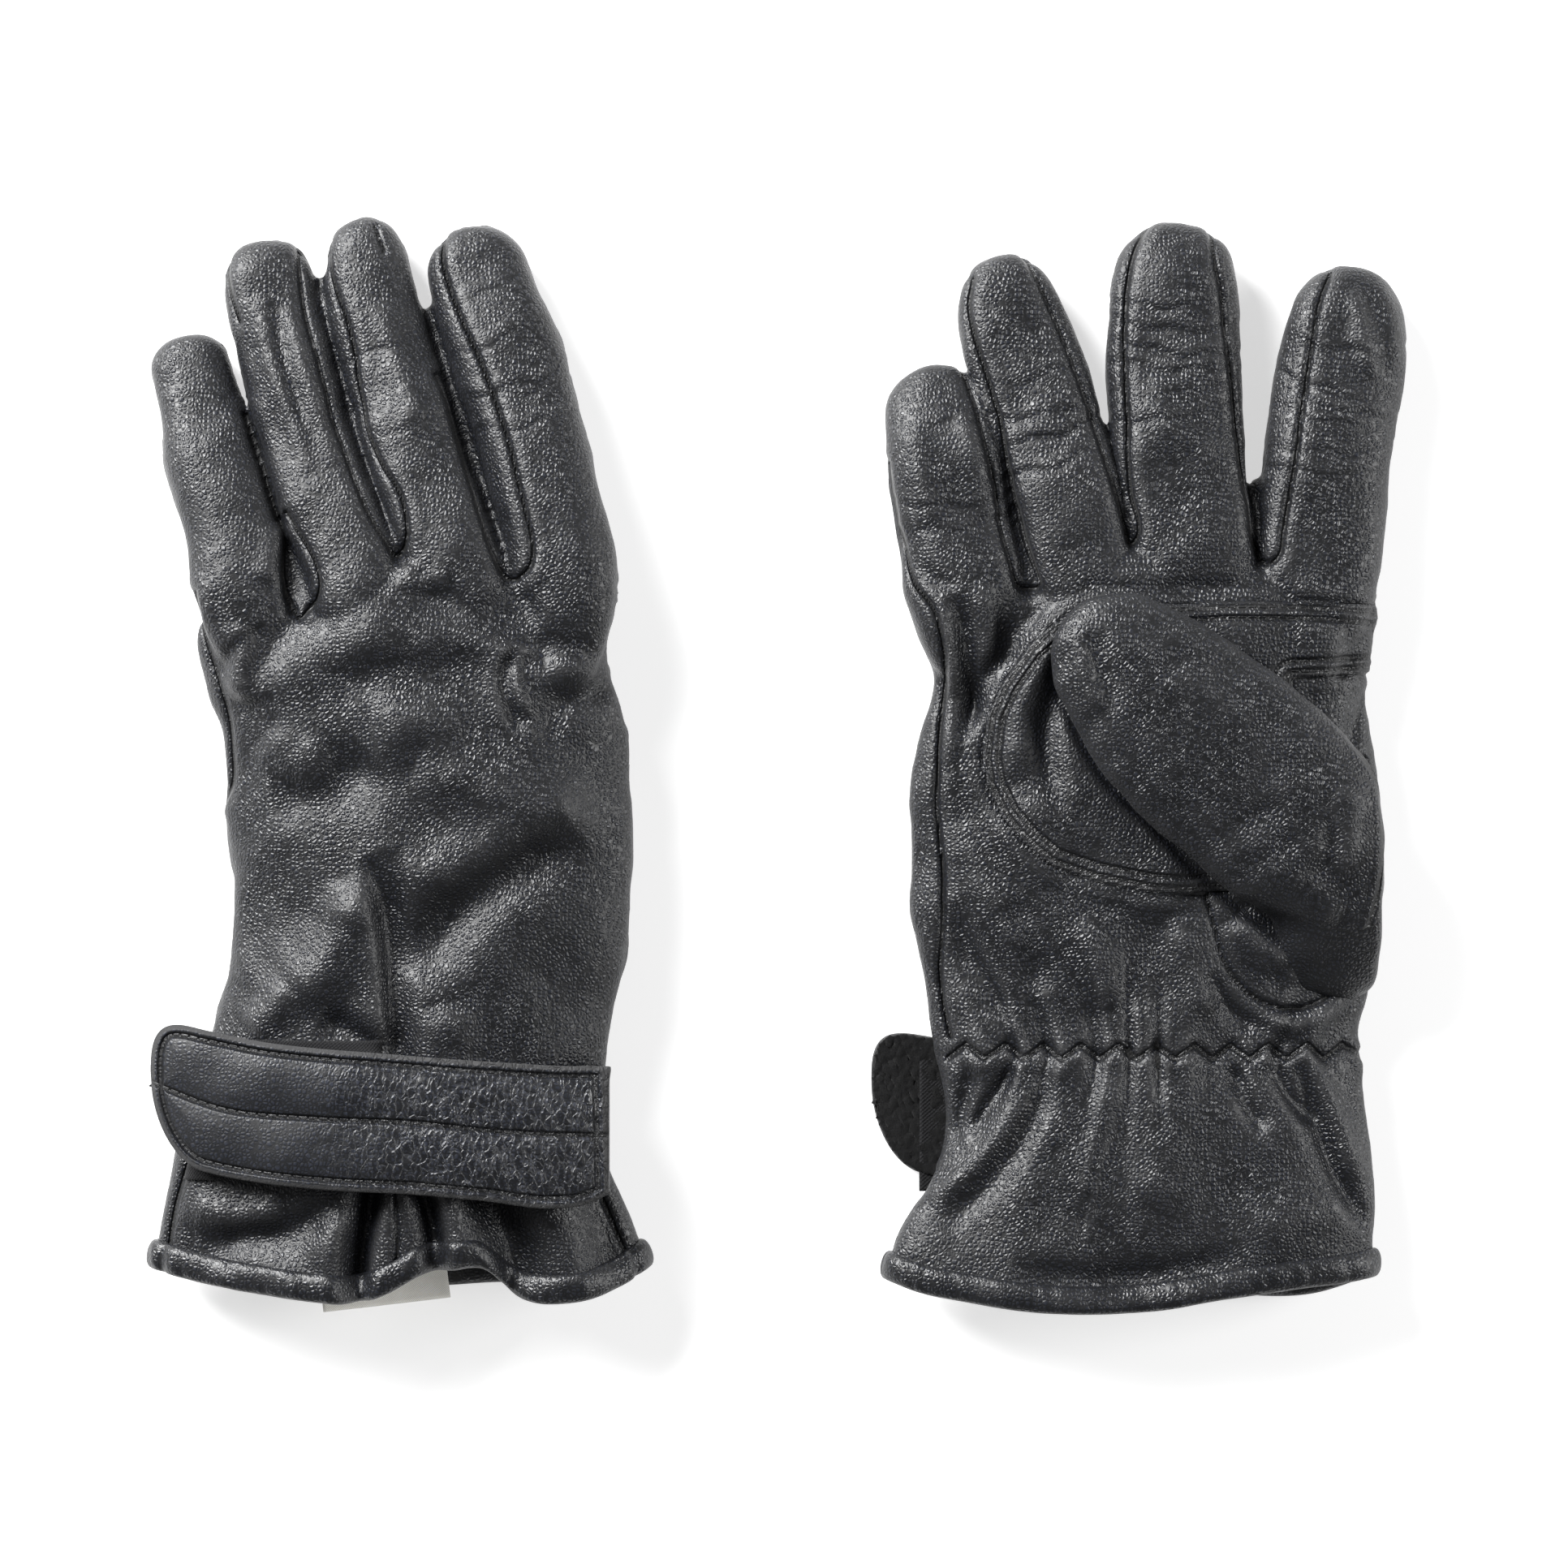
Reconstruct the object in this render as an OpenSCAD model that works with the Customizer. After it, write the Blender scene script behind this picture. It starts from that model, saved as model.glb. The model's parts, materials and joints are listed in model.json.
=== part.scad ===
// A pair of lined leather riding gloves, lying side by side: the left one back up
// on its folded thumb, the right one palm up with its thumb folded over the palm.
// Each glove is drawn in its own glove frame: +Y from the cuff mouth to the
// fingertips, +X towards the thumb, z = 0 on the palm's outer face and z = hand_h on
// the back's outer face. place() turns a glove frame into the pair's frame.

/* [Hand] */
// Height of the flattened hand, palm face to back face
hand_h = 20; // [18:0.5:24]
// Height along the glove where the cuff ends and the hand begins
wrist_y = 66; // [60:1:70]
// How far the finger bases stand off the hand's panels, for the bend of the leather
knuckle_gap = 1.5; // [1.5:0.1:2]

/* [Materials] */
// Thickness of the shell leather
leather = 1.2; // [1:0.1:1.4]
// Thickness of the fleece lining
fleece = 1.3; // [1:0.1:1.5]
// Free space between shell and lining, where the elastic and the pleat lie
loft = 1; // [1:0.1:1.2]
// Wall of a finger: leather with its bonded lining
finger_wall = 2.2; // [1.8:0.1:2.6]

/* [Cuff] */
// Height of the rolled hem at the cuff mouth
hem_h = 8; // [6:0.5:10]
// Wall of the rolled hem
hem_wall = 4; // [3.5:0.5:5]
// How far the left cuff's palm side drops to the table
left_cuff_drop = 13; // [8:0.5:13]
// How far the right cuff's palm side rises at the mouth
right_cuff_drop = 3; // [1:0.5:6]

/* [Thumb] */
// Width of the flattened thumb
thumb_w = 42; // [40:1:44]
// Length of the thumb beyond its fold
thumb_l = 84; // [76:1:85]
// Height of the flattened thumb
thumb_h = 12.5; // [11:0.5:12.5]
// Lean of the folded thumb, from the glove's length towards the little finger
thumb_lean = 46; // [42:1:50]
// Radius of the half-round hole in the palm that the thumb is set over
thumb_hole_r = 14.5; // [13:0.5:15]

/* [Strap] */
// Width of the wrist strap
strap_w = 36; // [32:1:38]
// Thickness of the strap's doubled leather
strap_t = 2.1; // [1.6:0.1:2.1]
// Corner radius of the strap's free end
strap_r = 12; // [8:1:16]

/* [Hidden] */
$fn = 64;
SIDES = ["left", "right"];
FINGERS = ["little", "ring", "middle", "index"];
HAND_PIECES = ["back_panel", "palm_panel", "side_gusset", "thumb_gusset", "palm_patch",
               "cuff_back", "cuff_palm", "cuff_gusset", "hem_binding", "wrist_elastic",
               "hand_lining", "hook_patch", "strap_base", "strap", "strap_pile",
               "thumb_outer", "thumb_inner"];
FINGER_PIECES = ["palm", "back", "fourchettes"];

black = [0.09, 0.09, 0.10];
worn_black = [0.13, 0.13, 0.14];
pile_black = [0.05, 0.05, 0.05];
fleece_grey = [0.30, 0.31, 0.29];
label_white = [0.86, 0.86, 0.83];

// Each finger: base x, base y, lean, length, width, height. A positive lean is
// towards the little finger's side. The left fingers lie rounder and closer
// together, and the right ones flatter and more spread.
LEFT_FINGERS = [[-38.7, 178, 12.5, 71.5, 22, 17], [-10.9, 183, 15, 91.8, 23, 18],
                [14.6, 188, 15, 92.3, 24.5, 18], [42.5, 187, 16, 91.3, 26, 18]];
RIGHT_FINGERS = [[-43.8, 183, 11, 60, 26, 15], [-15.8, 192, 11, 78.8, 27, 16],
                 [14.4, 192, 4, 86.6, 31, 16], [44.7, 187, -9.4, 80.8, 29, 16]];
tip_slope = 14;          // length over which a fingertip's back slopes to its palm
thumb_base = [43, 116];  // middle of the thumb's fold line
hood_r = 18.5;           // radius of the pocket that joins the thumb to the palm
thumb_skin = 1.3;        // gap from the palm's face to the thumb, with the patch in it
finger_step = 0.5;       // how far the fingers' faces lie below the hand's
finger_root = 5;         // length drawn behind a finger's base before it is cut flush
patch_t = 1;
patch_r = 34;
patch_centre = [-6, 140];
band_y = [163, 181];     // the patch's band below the index finger
band_x = [-8, 54];
hook_t = 1.4;
pile_t = 1.2;
fit = 0.1;               // clearance between layers that only lie on each other
strap_root_x = 49.5;
strap_y = 48;            // middle of the strap's width, up the cuff
hook_x = [-50, -4];
pile_inner_x = -2;
anchor_w = 5;            // the strap's sewn end
strap_top = hand_h + hook_t + pile_t + strap_t + 2 * fit;
left_lift = thumb_h + thumb_skin;   // the left glove's palm, above the table
left_origin = [-97, -136.2];
right_origin = [91.5, -140];

function is_left(side) = side == "left";
function finger(side, i) = is_left(side) ? LEFT_FINGERS[i] : RIGHT_FINGERS[i];
function cuff_drop(side) = is_left(side) ? left_cuff_drop : right_cuff_drop;
function strap_end_x(side) = is_left(side) ? -62.7 : -69;
function along(lean) = [-sin(lean), cos(lean)];
function across(lean) = [cos(lean), sin(lean)];

// The hand's two edges, at a height along the glove.
function little_edge(y) = lookup(y, [[0, -62], [8, -61], [66, -51], [115, -50], [165, -54]]);
function thumb_edge(y) = lookup(y, [[0, 61], [8, 60], [66, 54], [115, 60], [165, 57]]);

// One end of a finger's base line, moved by reach along the finger.
function base_end(f, sign, reach) =
    [f[0], f[1]] + sign * f[4] / 2 * across(f[2]) + reach * along(f[2]);

EDGE_HEIGHTS = [wrist_y, 115, 165];
function little_side(inset) = [for (y = EDGE_HEIGHTS) [little_edge(y) + inset, y]];
function thumb_side(inset) = [for (i = [2:-1:0])
    [thumb_edge(EDGE_HEIGHTS[i]) - inset, EDGE_HEIGHTS[i]]];
function front(side, reach) = [for (i = [0:3]) for (sign = [-1, 1])
    base_end(finger(side, i), sign, reach)];
function hand_outline(side, inset, reach) =
    concat(little_side(inset), front(side, reach), thumb_side(inset));

// Droop of a finger from the hand down to the table: a left finger droops to its
// palm side, and a right one to its back.
function droop(side, f) = is_left(side)
    ? -asin((left_lift + finger_step) / f[3])
    : asin((strap_top - hand_h + finger_step) / (f[3] - tip_slope));
function finger_z(side, f) = is_left(side) ? finger_step : hand_h - f[5] - finger_step;

module place(side) {
    if (is_left(side))
        translate([left_origin[0], left_origin[1], left_lift]) children();
    else
        translate([right_origin[0], right_origin[1], strap_top])
            mirror([0, 0, 1]) children();
}

// Moves a piece of a finger to its place on the hand, and cuts its base flush.
module on_hand(side, f) {
    translate([f[0], f[1], finger_z(side, f)]) rotate([0, 0, f[2]]) intersection() {
        rotate([droop(side, f), 0, 0]) children();
        translate([-f[4], 0, -f[3]]) cube([2 * f[4], 2 * f[3], 2 * f[3]]);
    }
}

// ---- Fingers and thumb, each in a frame with its base at the origin, +Y to its tip

// The outline of a digit seen on its palm, taken in by inset and drawn out by root
// behind its base.
module digit_plan(w, l, inset, root) {
    translate([-w / 2 + inset, -root]) square([w - 2 * inset, l - w / 2 + root]);
    translate([0, l - w / 2]) circle(w / 2 - inset);
}

// A finger's side profile between two depths, drawn in Y and Z and spread over X.
module finger_profile(l, w, points) {
    rotate([90, 0, 90]) translate([0, 0, -w]) linear_extrude(2 * w) polygon(points);
}

module finger_palm(side, f) {
    color(black) on_hand(side, f) linear_extrude(finger_wall) digit_plan(f[4], f[3], 0, finger_root);
}

module finger_back(side, f) {
    l = f[3];
    h = f[5];
    low = finger_wall + fit;
    color(black) on_hand(side, f) intersection() {
        linear_extrude(h) digit_plan(f[4], l, 0, finger_root);
        finger_profile(l, f[4], [[-finger_root, h - finger_wall], [-finger_root, h],
            [l - tip_slope, h], [l + 1, low + finger_wall], [l + 1, low],
            [l - finger_wall, low], [l - tip_slope, h - finger_wall]]);
    }
}

// The two strips that join a finger's palm and back: one along each side, meeting
// at the tip.
module fourchettes(side, f) {
    l = f[3];
    w = f[4];
    h = f[5];
    low = finger_wall + fit;
    color(black) on_hand(side, f) for (sign = [-1, 1]) intersection() {
        linear_extrude(h) difference() {
            digit_plan(w, l, 0, finger_root);
            digit_plan(w, l, finger_wall, finger_root + 1);
        }
        finger_profile(l, w, [[-finger_root, low], [-finger_root, h - finger_wall - fit],
            [l - tip_slope, h - finger_wall - fit], [l - finger_wall - fit, low]]);
        translate([sign > 0 ? fit / 2 : -w, -2 * finger_root, 0])
            cube([w - fit / 2, 2 * l, h]);
    }
}

// ---- Thumb, folded flat over the palm

module at_thumb() {
    translate([thumb_base[0], thumb_base[1], -thumb_skin - thumb_h])
        rotate([0, 0, thumb_lean]) translate([0, fit, 0]) children();
}

module thumb_inner() {
    color(black) at_thumb() translate([0, 0, thumb_h - finger_wall])
        linear_extrude(finger_wall) digit_plan(thumb_w, thumb_l, 0, 0);
}

module thumb_outer() {
    color(black) at_thumb() difference() {
        linear_extrude(thumb_h - finger_wall - fit) digit_plan(thumb_w, thumb_l, 0, 0);
        translate([0, 0, finger_wall]) linear_extrude(thumb_h)
            digit_plan(thumb_w, thumb_l, finger_wall, 1);
    }
}

// The pocket that joins the thumb to the hole in the palm, behind the fold line.
module thumb_gusset() {
    back = 2 * fit;
    color(black) translate([thumb_base[0], thumb_base[1], -thumb_skin - thumb_h])
        rotate([0, 0, thumb_lean]) intersection() {
            difference() {
                cylinder(r = hood_r, h = thumb_skin + thumb_h);
                translate([0, 0, finger_wall])
                    cylinder(r = hood_r - finger_wall, h = thumb_skin + thumb_h);
            }
            translate([-thumb_w, -thumb_w - back, -1])
                cube([2 * thumb_w, thumb_w, thumb_h + 4]);
        }
}

// The half-round way from the hand into that pocket, behind the fold line.
module thumb_hole() {
    edge = 0.5;
    translate([thumb_base[0], thumb_base[1], -1]) rotate([0, 0, thumb_lean])
        intersection() {
            cylinder(r = thumb_hole_r, h = hand_h / 2);
            translate([-thumb_w, -thumb_w - edge, -1]) cube([2 * thumb_w, thumb_w, hand_h]);
        }
}

// ---- Hand

module palm_panel(side) {
    wall = leather;
    color(black) difference() {
        union() {
            linear_extrude(leather) polygon(hand_outline(side, 0, -knuckle_gap));
            linear_extrude(hand_h - leather - fit)
                polygon(concat(thumb_side(0), [for (i = [0:2]) thumb_side(wall)[2 - i]]));
        }
        thumb_hole();
    }
}

module back_panel(side) {
    color(black) translate([0, 0, hand_h - leather]) linear_extrude(leather)
        polygon(hand_outline(side, 0, -knuckle_gap));
}

// The narrow strip along the little finger's edge of the hand.
module side_gusset() {
    color(black) translate([0, 0, leather + fit])
        linear_extrude(hand_h - 2 * leather - 2 * fit)
            polygon(concat(little_side(0), [for (i = [0:2]) little_side(leather)[2 - i]]));
}

module palm_patch() {
    color(worn_black) translate([0, 0, -patch_t]) linear_extrude(patch_t) {
        translate(patch_centre) circle(patch_r);
        translate([band_x[0], band_y[0]])
            square([band_x[1] - band_x[0], band_y[1] - band_y[0]]);
    }
}

// ---- Cuff

// The flared cuff as a solid, taken in by inset, from low at the mouth's end to high
// at the wrist's.
module cuff_solid(side, inset, low, high) {
    slab = 0.05;
    drop = cuff_drop(side);
    hull() {
        translate([little_edge(wrist_y) + inset, high - slab, inset])
            cube([thumb_edge(wrist_y) - little_edge(wrist_y) - 2 * inset, slab,
                  hand_h - 2 * inset]);
        translate([little_edge(hem_h) + inset, low, inset - drop])
            cube([thumb_edge(hem_h) - little_edge(hem_h) - 2 * inset, slab,
                  hand_h + drop - 2 * inset]);
    }
}

module cuff_palm(side) {
    color(black) difference() {
        cuff_solid(side, 0, hem_h + fit, wrist_y - fit);
        cuff_solid(side, leather, hem_h, wrist_y);
        translate([-100, 0, hand_h - leather - fit]) cube([200, 100, 10]);
    }
}

PLEAT = [[-3, hem_h + fit], [9, hem_h + fit], [0.5, 62], [-2, 62]];

module cuff_back() {
    color(black) translate([0, 0, hand_h - leather]) linear_extrude(leather) difference() {
        polygon([[little_edge(hem_h), hem_h + fit], [thumb_edge(hem_h), hem_h + fit],
                 [thumb_edge(wrist_y), wrist_y - fit], [little_edge(wrist_y), wrist_y - fit]]);
        polygon(PLEAT);
    }
}

// The pleated wedge set into the back of the cuff, which lets it open for the hand.
module cuff_gusset() {
    pleat_t = 0.8;
    color(black) translate([0, 0, hand_h - leather - fit - pleat_t])
        linear_extrude(pleat_t) intersection() {
            offset(delta = 3) polygon(PLEAT);
            translate([-50, hem_h + fit]) square([100, 56]);
        }
}

module mouth(side, inset) {
    x0 = little_edge(0) + inset;
    x1 = thumb_edge(0) - inset;
    z0 = -cuff_drop(side) - 0.8 + inset;
    z1 = hand_h + 0.8 - inset;
    r = 7 - inset;
    hull() for (x = [x0 + r, x1 - r]) for (z = [z0 + r, z1 - r]) translate([x, z]) circle(r);
}

module hem_binding(side) {
    color(black) translate([0, hem_h, 0]) rotate([90, 0, 0]) linear_extrude(hem_h)
        difference() {
            mouth(side, 0);
            mouth(side, hem_wall);
        }
}

module wrist_elastic() {
    color(pile_black) translate([little_edge(wrist_y) + 4, wrist_y + 0.5, leather + fit / 2])
        cube([thumb_edge(wrist_y) - little_edge(wrist_y) - 8, 10, loft - fit]);
}

// The fleece sleeve inside the cuff and the hand, open at the mouth and at the fingers.
module hand_lining(side) {
    skin = leather + loft;
    inner = skin + fleece;
    color(fleece_grey) difference() {
        union() {
            translate([0, 0, skin]) linear_extrude(hand_h - 2 * skin)
                polygon(hand_outline(side, skin, -knuckle_gap));
            cuff_solid(side, skin, hem_h + fit, wrist_y + 1);
        }
        translate([0, 0, inner]) linear_extrude(hand_h - 2 * inner)
            polygon(hand_outline(side, inner, 2));
        cuff_solid(side, inner, hem_h, wrist_y + 2);
        thumb_hole();
    }
}

module care_label() {
    color(label_white) translate([-20, -3.4, hand_h - leather - loft - fleece - 0.5])
        cube([32, 24, 0.4]);
}

// ---- Strap and its hook-and-pile fastener

module hook_patch() {
    color(pile_black) translate([hook_x[0], strap_y - strap_w / 2 + 2, hand_h])
        cube([hook_x[1] - hook_x[0], strap_w - 4, hook_t]);
}

// A strap-shaped outline from its root to its rounded free end, taken in by inset.
module strap_plan(side, root, inset) {
    end = strap_end_x(side) + inset;
    low = strap_y - strap_w / 2 + inset;
    high = strap_y + strap_w / 2 - inset;
    r = strap_r - inset;
    hull() {
        translate([root - 1, low]) square([1, high - low]);
        for (y = [low + r, high - r]) translate([end + r, y]) circle(r);
    }
}

module strap(side) {
    color(worn_black) translate([0, 0, strap_top - strap_t]) linear_extrude(strap_t)
        strap_plan(side, strap_root_x, 0);
}

module strap_pile(side) {
    color(pile_black) translate([0, 0, hand_h + hook_t + fit]) linear_extrude(pile_t)
        strap_plan(side, pile_inner_x, 1.5);
}

module strap_base() {
    color(worn_black) translate([strap_root_x + 0.3, strap_y - strap_w / 2, hand_h])
        cube([anchor_w, strap_w, strap_top - hand_h]);
}

for (side = SIDES) place(side) {
    back_panel(side);
    palm_panel(side);
    side_gusset();
    thumb_gusset();
    palm_patch();
    cuff_back();
    cuff_palm(side);
    cuff_gusset();
    hem_binding(side);
    wrist_elastic();
    hand_lining(side);
    hook_patch();
    strap_base();
    strap(side);
    strap_pile(side);
    thumb_outer();
    thumb_inner();
    for (i = [0:3]) {
        finger_palm(side, finger(side, i));
        finger_back(side, finger(side, i));
        fourchettes(side, finger(side, i));
    }
}
place("left") care_label();  // left_care_label
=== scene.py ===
import json
import math

import bmesh
import bpy
import numpy as np
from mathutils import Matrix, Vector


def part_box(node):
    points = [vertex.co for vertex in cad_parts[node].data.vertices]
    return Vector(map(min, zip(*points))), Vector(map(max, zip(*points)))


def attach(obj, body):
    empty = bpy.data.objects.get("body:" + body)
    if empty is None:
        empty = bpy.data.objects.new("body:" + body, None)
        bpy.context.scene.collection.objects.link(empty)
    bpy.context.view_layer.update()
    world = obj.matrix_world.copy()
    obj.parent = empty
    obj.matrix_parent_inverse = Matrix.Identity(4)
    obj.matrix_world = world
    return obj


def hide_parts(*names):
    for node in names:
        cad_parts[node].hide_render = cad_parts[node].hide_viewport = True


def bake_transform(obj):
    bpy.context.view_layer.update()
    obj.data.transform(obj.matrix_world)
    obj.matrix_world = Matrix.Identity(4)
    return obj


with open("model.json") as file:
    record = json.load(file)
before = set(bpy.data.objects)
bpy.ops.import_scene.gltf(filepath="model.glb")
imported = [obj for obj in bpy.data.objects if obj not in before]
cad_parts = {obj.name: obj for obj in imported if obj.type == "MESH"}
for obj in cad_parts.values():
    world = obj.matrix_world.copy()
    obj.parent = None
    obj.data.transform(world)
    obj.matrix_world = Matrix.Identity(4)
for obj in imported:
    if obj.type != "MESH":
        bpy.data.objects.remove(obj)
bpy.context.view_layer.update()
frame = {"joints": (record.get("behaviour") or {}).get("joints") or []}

bl_info = {
    "name": "Leather riding gloves",
    "version": (1, 0, 0),
    "blender": (4, 5, 0),
    "location": "View3D > Sidebar > Gloves",
    "description": "Builds a pair of lined leather riding gloves lying on a table",
    "category": "Add Mesh",
}

MM = 0.001
SIDES = ("left", "right")
FINGERS = ("little", "ring", "middle", "index")
TABLE_GLOW = 0.6     # light that the white table gives of itself
ROOM_WALLS = 0.34    # how bright the room is level with the table
ROOM_CEILING = 0.04  # and straight above it
VIEW_WIDTH = 0.4     # metres of table that the camera sees
FAR = 9.0            # millimetres: a seam or row further off than this isn't felt
RELAX_ROUNDS = 8     # how often a fused skin is smoothed

# All sizes below are in millimetres, in the frame of the pair: +X to the right,
# +Y to the fingertips, +Z up from the table.
PAIR_TOP = 38.7      # the pair's height: a thing z high on one glove's back lies at
                     # PAIR_TOP - z on the other's
TO_LEFT = (-188.5, 3.8)    # from a place on the right glove to the same on the left

# ---- The two gloves' shapes -------------------------------------------------------
# Finger centre lines from deep in the hand to the tip: x, y, z, half width, half height.
FINGER_LINES = {
    "left": {
        "little": [(-131, 18, 22.5, 6.5, 5.5), (-136.5, 42, 21.5, 12.4, 8.6),
                   (-141, 62.7, 18, 12.4, 8.8), (-146.4, 83, 14, 11.4, 8.6),
                   (-150.8, 99, 10.5, 10.6, 8), (-153.4, 110.8, 8.2, 9.6, 7.2)],
        "ring": [(-103, 18, 23.5, 7, 5.5), (-107.6, 44, 23.5, 12, 9),
                 (-114.2, 63, 21, 11.8, 9), (-120.7, 82, 17.8, 11.6, 8.8),
                 (-126.6, 103, 13.5, 11.8, 8.6), (-130.4, 121, 10.2, 11.6, 8),
                 (-131.6, 134.8, 8.4, 10.4, 7)],
        "middle": [(-77, 18, 23.5, 7, 5.5), (-82, 46, 24, 12.4, 9),
                   (-87, 63, 22, 12, 9.2), (-93.8, 82, 18.8, 12.2, 9),
                   (-99.6, 101, 14.8, 12, 8.8), (-105.4, 120, 11, 11.8, 8.2),
                   (-107.6, 139.6, 8.4, 9.6, 7)],
        "index": [(-55, 18, 23, 6, 5.5), (-55, 46, 23, 13, 9),
                  (-60.6, 70, 20.6, 13.5, 9.2), (-65.6, 90, 17.4, 13.8, 9),
                  (-72, 109, 13.6, 14.2, 8.8), (-78.4, 127, 10, 12.8, 8.2),
                  (-81.6, 138, 8.4, 11, 7)],
    },
    "right": {
        "little": [(51, 16, 15.2, 7, 5.5), (46.6, 44, 14.6, 15.2, 8.8),
                   (43.3, 65, 12.6, 15, 9), (41.4, 80, 11, 14.4, 8.8),
                   (39.3, 93, 9.2, 13, 8.2), (39.2, 102.8, 8, 10.6, 7)],
        "ring": [(77.5, 20, 15.6, 7.5, 5.5), (76, 50, 15.4, 13.2, 8.8),
                 (73, 66, 14, 13.6, 9), (69.6, 80, 12.4, 13.8, 9),
                 (65.2, 94, 11, 14.2, 8.8), (60.6, 109, 9.6, 14.4, 8.4),
                 (58.6, 121, 8.6, 12.6, 7.8), (59.4, 130.2, 8, 10, 6.8)],
        "middle": [(106, 20, 15.8, 8, 5.5), (105, 52, 15.8, 15, 8.8),
                   (103, 70, 14.4, 16, 9.2), (100.8, 89, 12.6, 17.2, 9.2),
                   (100.2, 108, 10.8, 17, 9), (100.6, 126, 9.2, 15.2, 8.2),
                   (100.2, 139, 8.2, 11.6, 7)],
        "index": [(132.4, 18, 15.4, 7, 5.5), (136.8, 48, 14.8, 14.8, 8.8),
                  (138.2, 65, 13.4, 16.2, 9), (140, 84, 11.8, 17.2, 9),
                  (143.2, 103, 10.2, 16.6, 8.8), (146, 118, 8.8, 14.4, 8),
                  (148, 127.6, 8, 11.4, 6.8)],
    },
}
# Fourchette leather that shows down in the gaps between the fingers, as the fingers are.
WEBS = {
    "left": [[(-121, 32, 21, 4, 7), (-122.4, 48, 17, 5.4, 7), (-127, 66, 12.5, 4.4, 5.6),
              (-131, 78, 9, 2.6, 4)],
             [(-97.6, 44, 22, 3.6, 7), (-98.8, 60, 18.4, 4, 6.6), (-107, 82, 14, 4, 5.6),
              (-112.6, 100, 11, 4, 5), (-118, 122, 8.6, 4.6, 4.6)],
             [(-67.4, 40, 22, 4, 7), (-69, 58, 18.4, 4.6, 6.6), (-76, 80, 14, 4.4, 5.6),
              (-83.6, 100, 10.6, 4.4, 4.6), (-90, 118, 8, 3, 3.6)]],
    "right": [[(63, 40, 13, 3, 6), (60, 58, 11, 3, 5.6), (55.6, 78, 8.4, 2.4, 4)],
              [(88.6, 50, 13, 3, 6), (87.6, 62, 11.6, 2.6, 5.6), (85, 80, 9, 2, 4)],
              [(123.6, 46, 13, 3, 6), (122, 60, 11, 3, 5), (121.4, 74, 8, 2, 4)]],
}
# The sleeve's two edges from below the cuff's mouth to the knuckles, and its front from
# the little finger's side to the index finger's, through the three crotches.
MOUTH_Y = -142
SLEEVE_EDGES = {
    "left": ([(-159.8, -142), (-159.6, -124), (-157.2, -111), (-154, -98), (-148, -82),
              (-144.8, -65), (-141, -50), (-139.8, -32), (-142, -12),
              (-143.2, 9), (-148.6, 24), (-149.4, 32), (-148, 40)],
             [(-35.5, -142), (-35.6, -126), (-40, -113), (-44, -103), (-45.6, -88),
              (-44.6, -70), (-40.4, -50), (-38.6, -22), (-39.6, 9),
              (-43.6, 22), (-44.2, 32), (-43, 38), (-43, 46)]),
    "right": ([(28.2, -142), (28.2, -127), (32, -114), (40.4, -98), (41.6, -84),
               (38.8, -72), (36.6, -60), (36.2, -52), (33.2, -38), (32.4, -22),
               (34.4, 8), (38.6, 22), (36.4, 31), (33.6, 42)],
              [(151.6, -142), (150.4, -127), (151.6, -114), (150.8, -99), (148, -78),
               (146.4, -69), (149, -58), (151.8, -46), (153.2, -24), (152.4, -2),
               (148.6, 22), (149.6, 31), (151, 40), (151, 46)]),
}
HAND_FRONT = {
    "left": [(-148, 40), (-134, 44), (-121.5, 37.5), (-108, 46), (-98, 52), (-82, 54),
             (-67.6, 46.5), (-54, 50), (-43, 46)],
    "right": [(33.6, 42), (48, 50), (63, 44.5), (76, 54), (88.4, 55.5), (106, 56),
              (123.4, 50.5), (138, 52), (151, 46)],
}
# Along the sleeve: y, middle height, half height, and how far its two edges sag.
SLEEVE_HEIGHTS = {
    "left": [(-142, 16.5, 13.2, 4, 4), (-122, 17, 13.2, 4, 4), (-100, 19.6, 11.8, 5, 4),
             (-82, 21.4, 10.4, 6, 5), (-20, 22.5, 10.6, 7.5, 5.5), (40, 23.6, 9.4, 7.5, 5.5)],
    "right": [(-142, 15.7, 10.8, 1, 1), (-122, 15.6, 10.8, 1, 1), (-96, 15, 10.2, 2, 2),
              (-72, 14.4, 9.2, 3, 3), (-20, 14.8, 10, 3, 3), (40, 15.4, 9.2, 3, 3)],
}
# The middle line of the rolled hem: on the side that shows, then on the side beneath.
HEM_LINES = {
    "left": ([(-160, -124.4), (-145.5, -127.8), (-129, -130.4), (-117, -131.8), (-107, -132.2),
              (-99.5, -129.4), (-91, -124.8), (-84, -123.8), (-76, -123.4), (-71.5, -127),
              (-66, -131.6), (-54, -132.2), (-42, -128.6), (-35, -124.2)],
             [(-160, -124.4), (-140, -128), (-120, -130.6), (-100, -130.6), (-85, -129.6),
              (-70, -129), (-60, -130), (-45, -127.8), (-35, -124.2)]),
    "right": ([(28, -127.4), (35, -130), (46.2, -132.2), (69, -135.2), (93.7, -134.6),
               (112.8, -131.4), (131.8, -128.8), (146, -127.2), (152, -126)],
              [(28, -127.4), (50, -131.5), (80, -133), (110, -131), (135, -131.6), (152, -126)]),
}
HEM_REACH = 3.7      # half the hem's width
HEM_HALF = 1.9       # half its thickness
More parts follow.
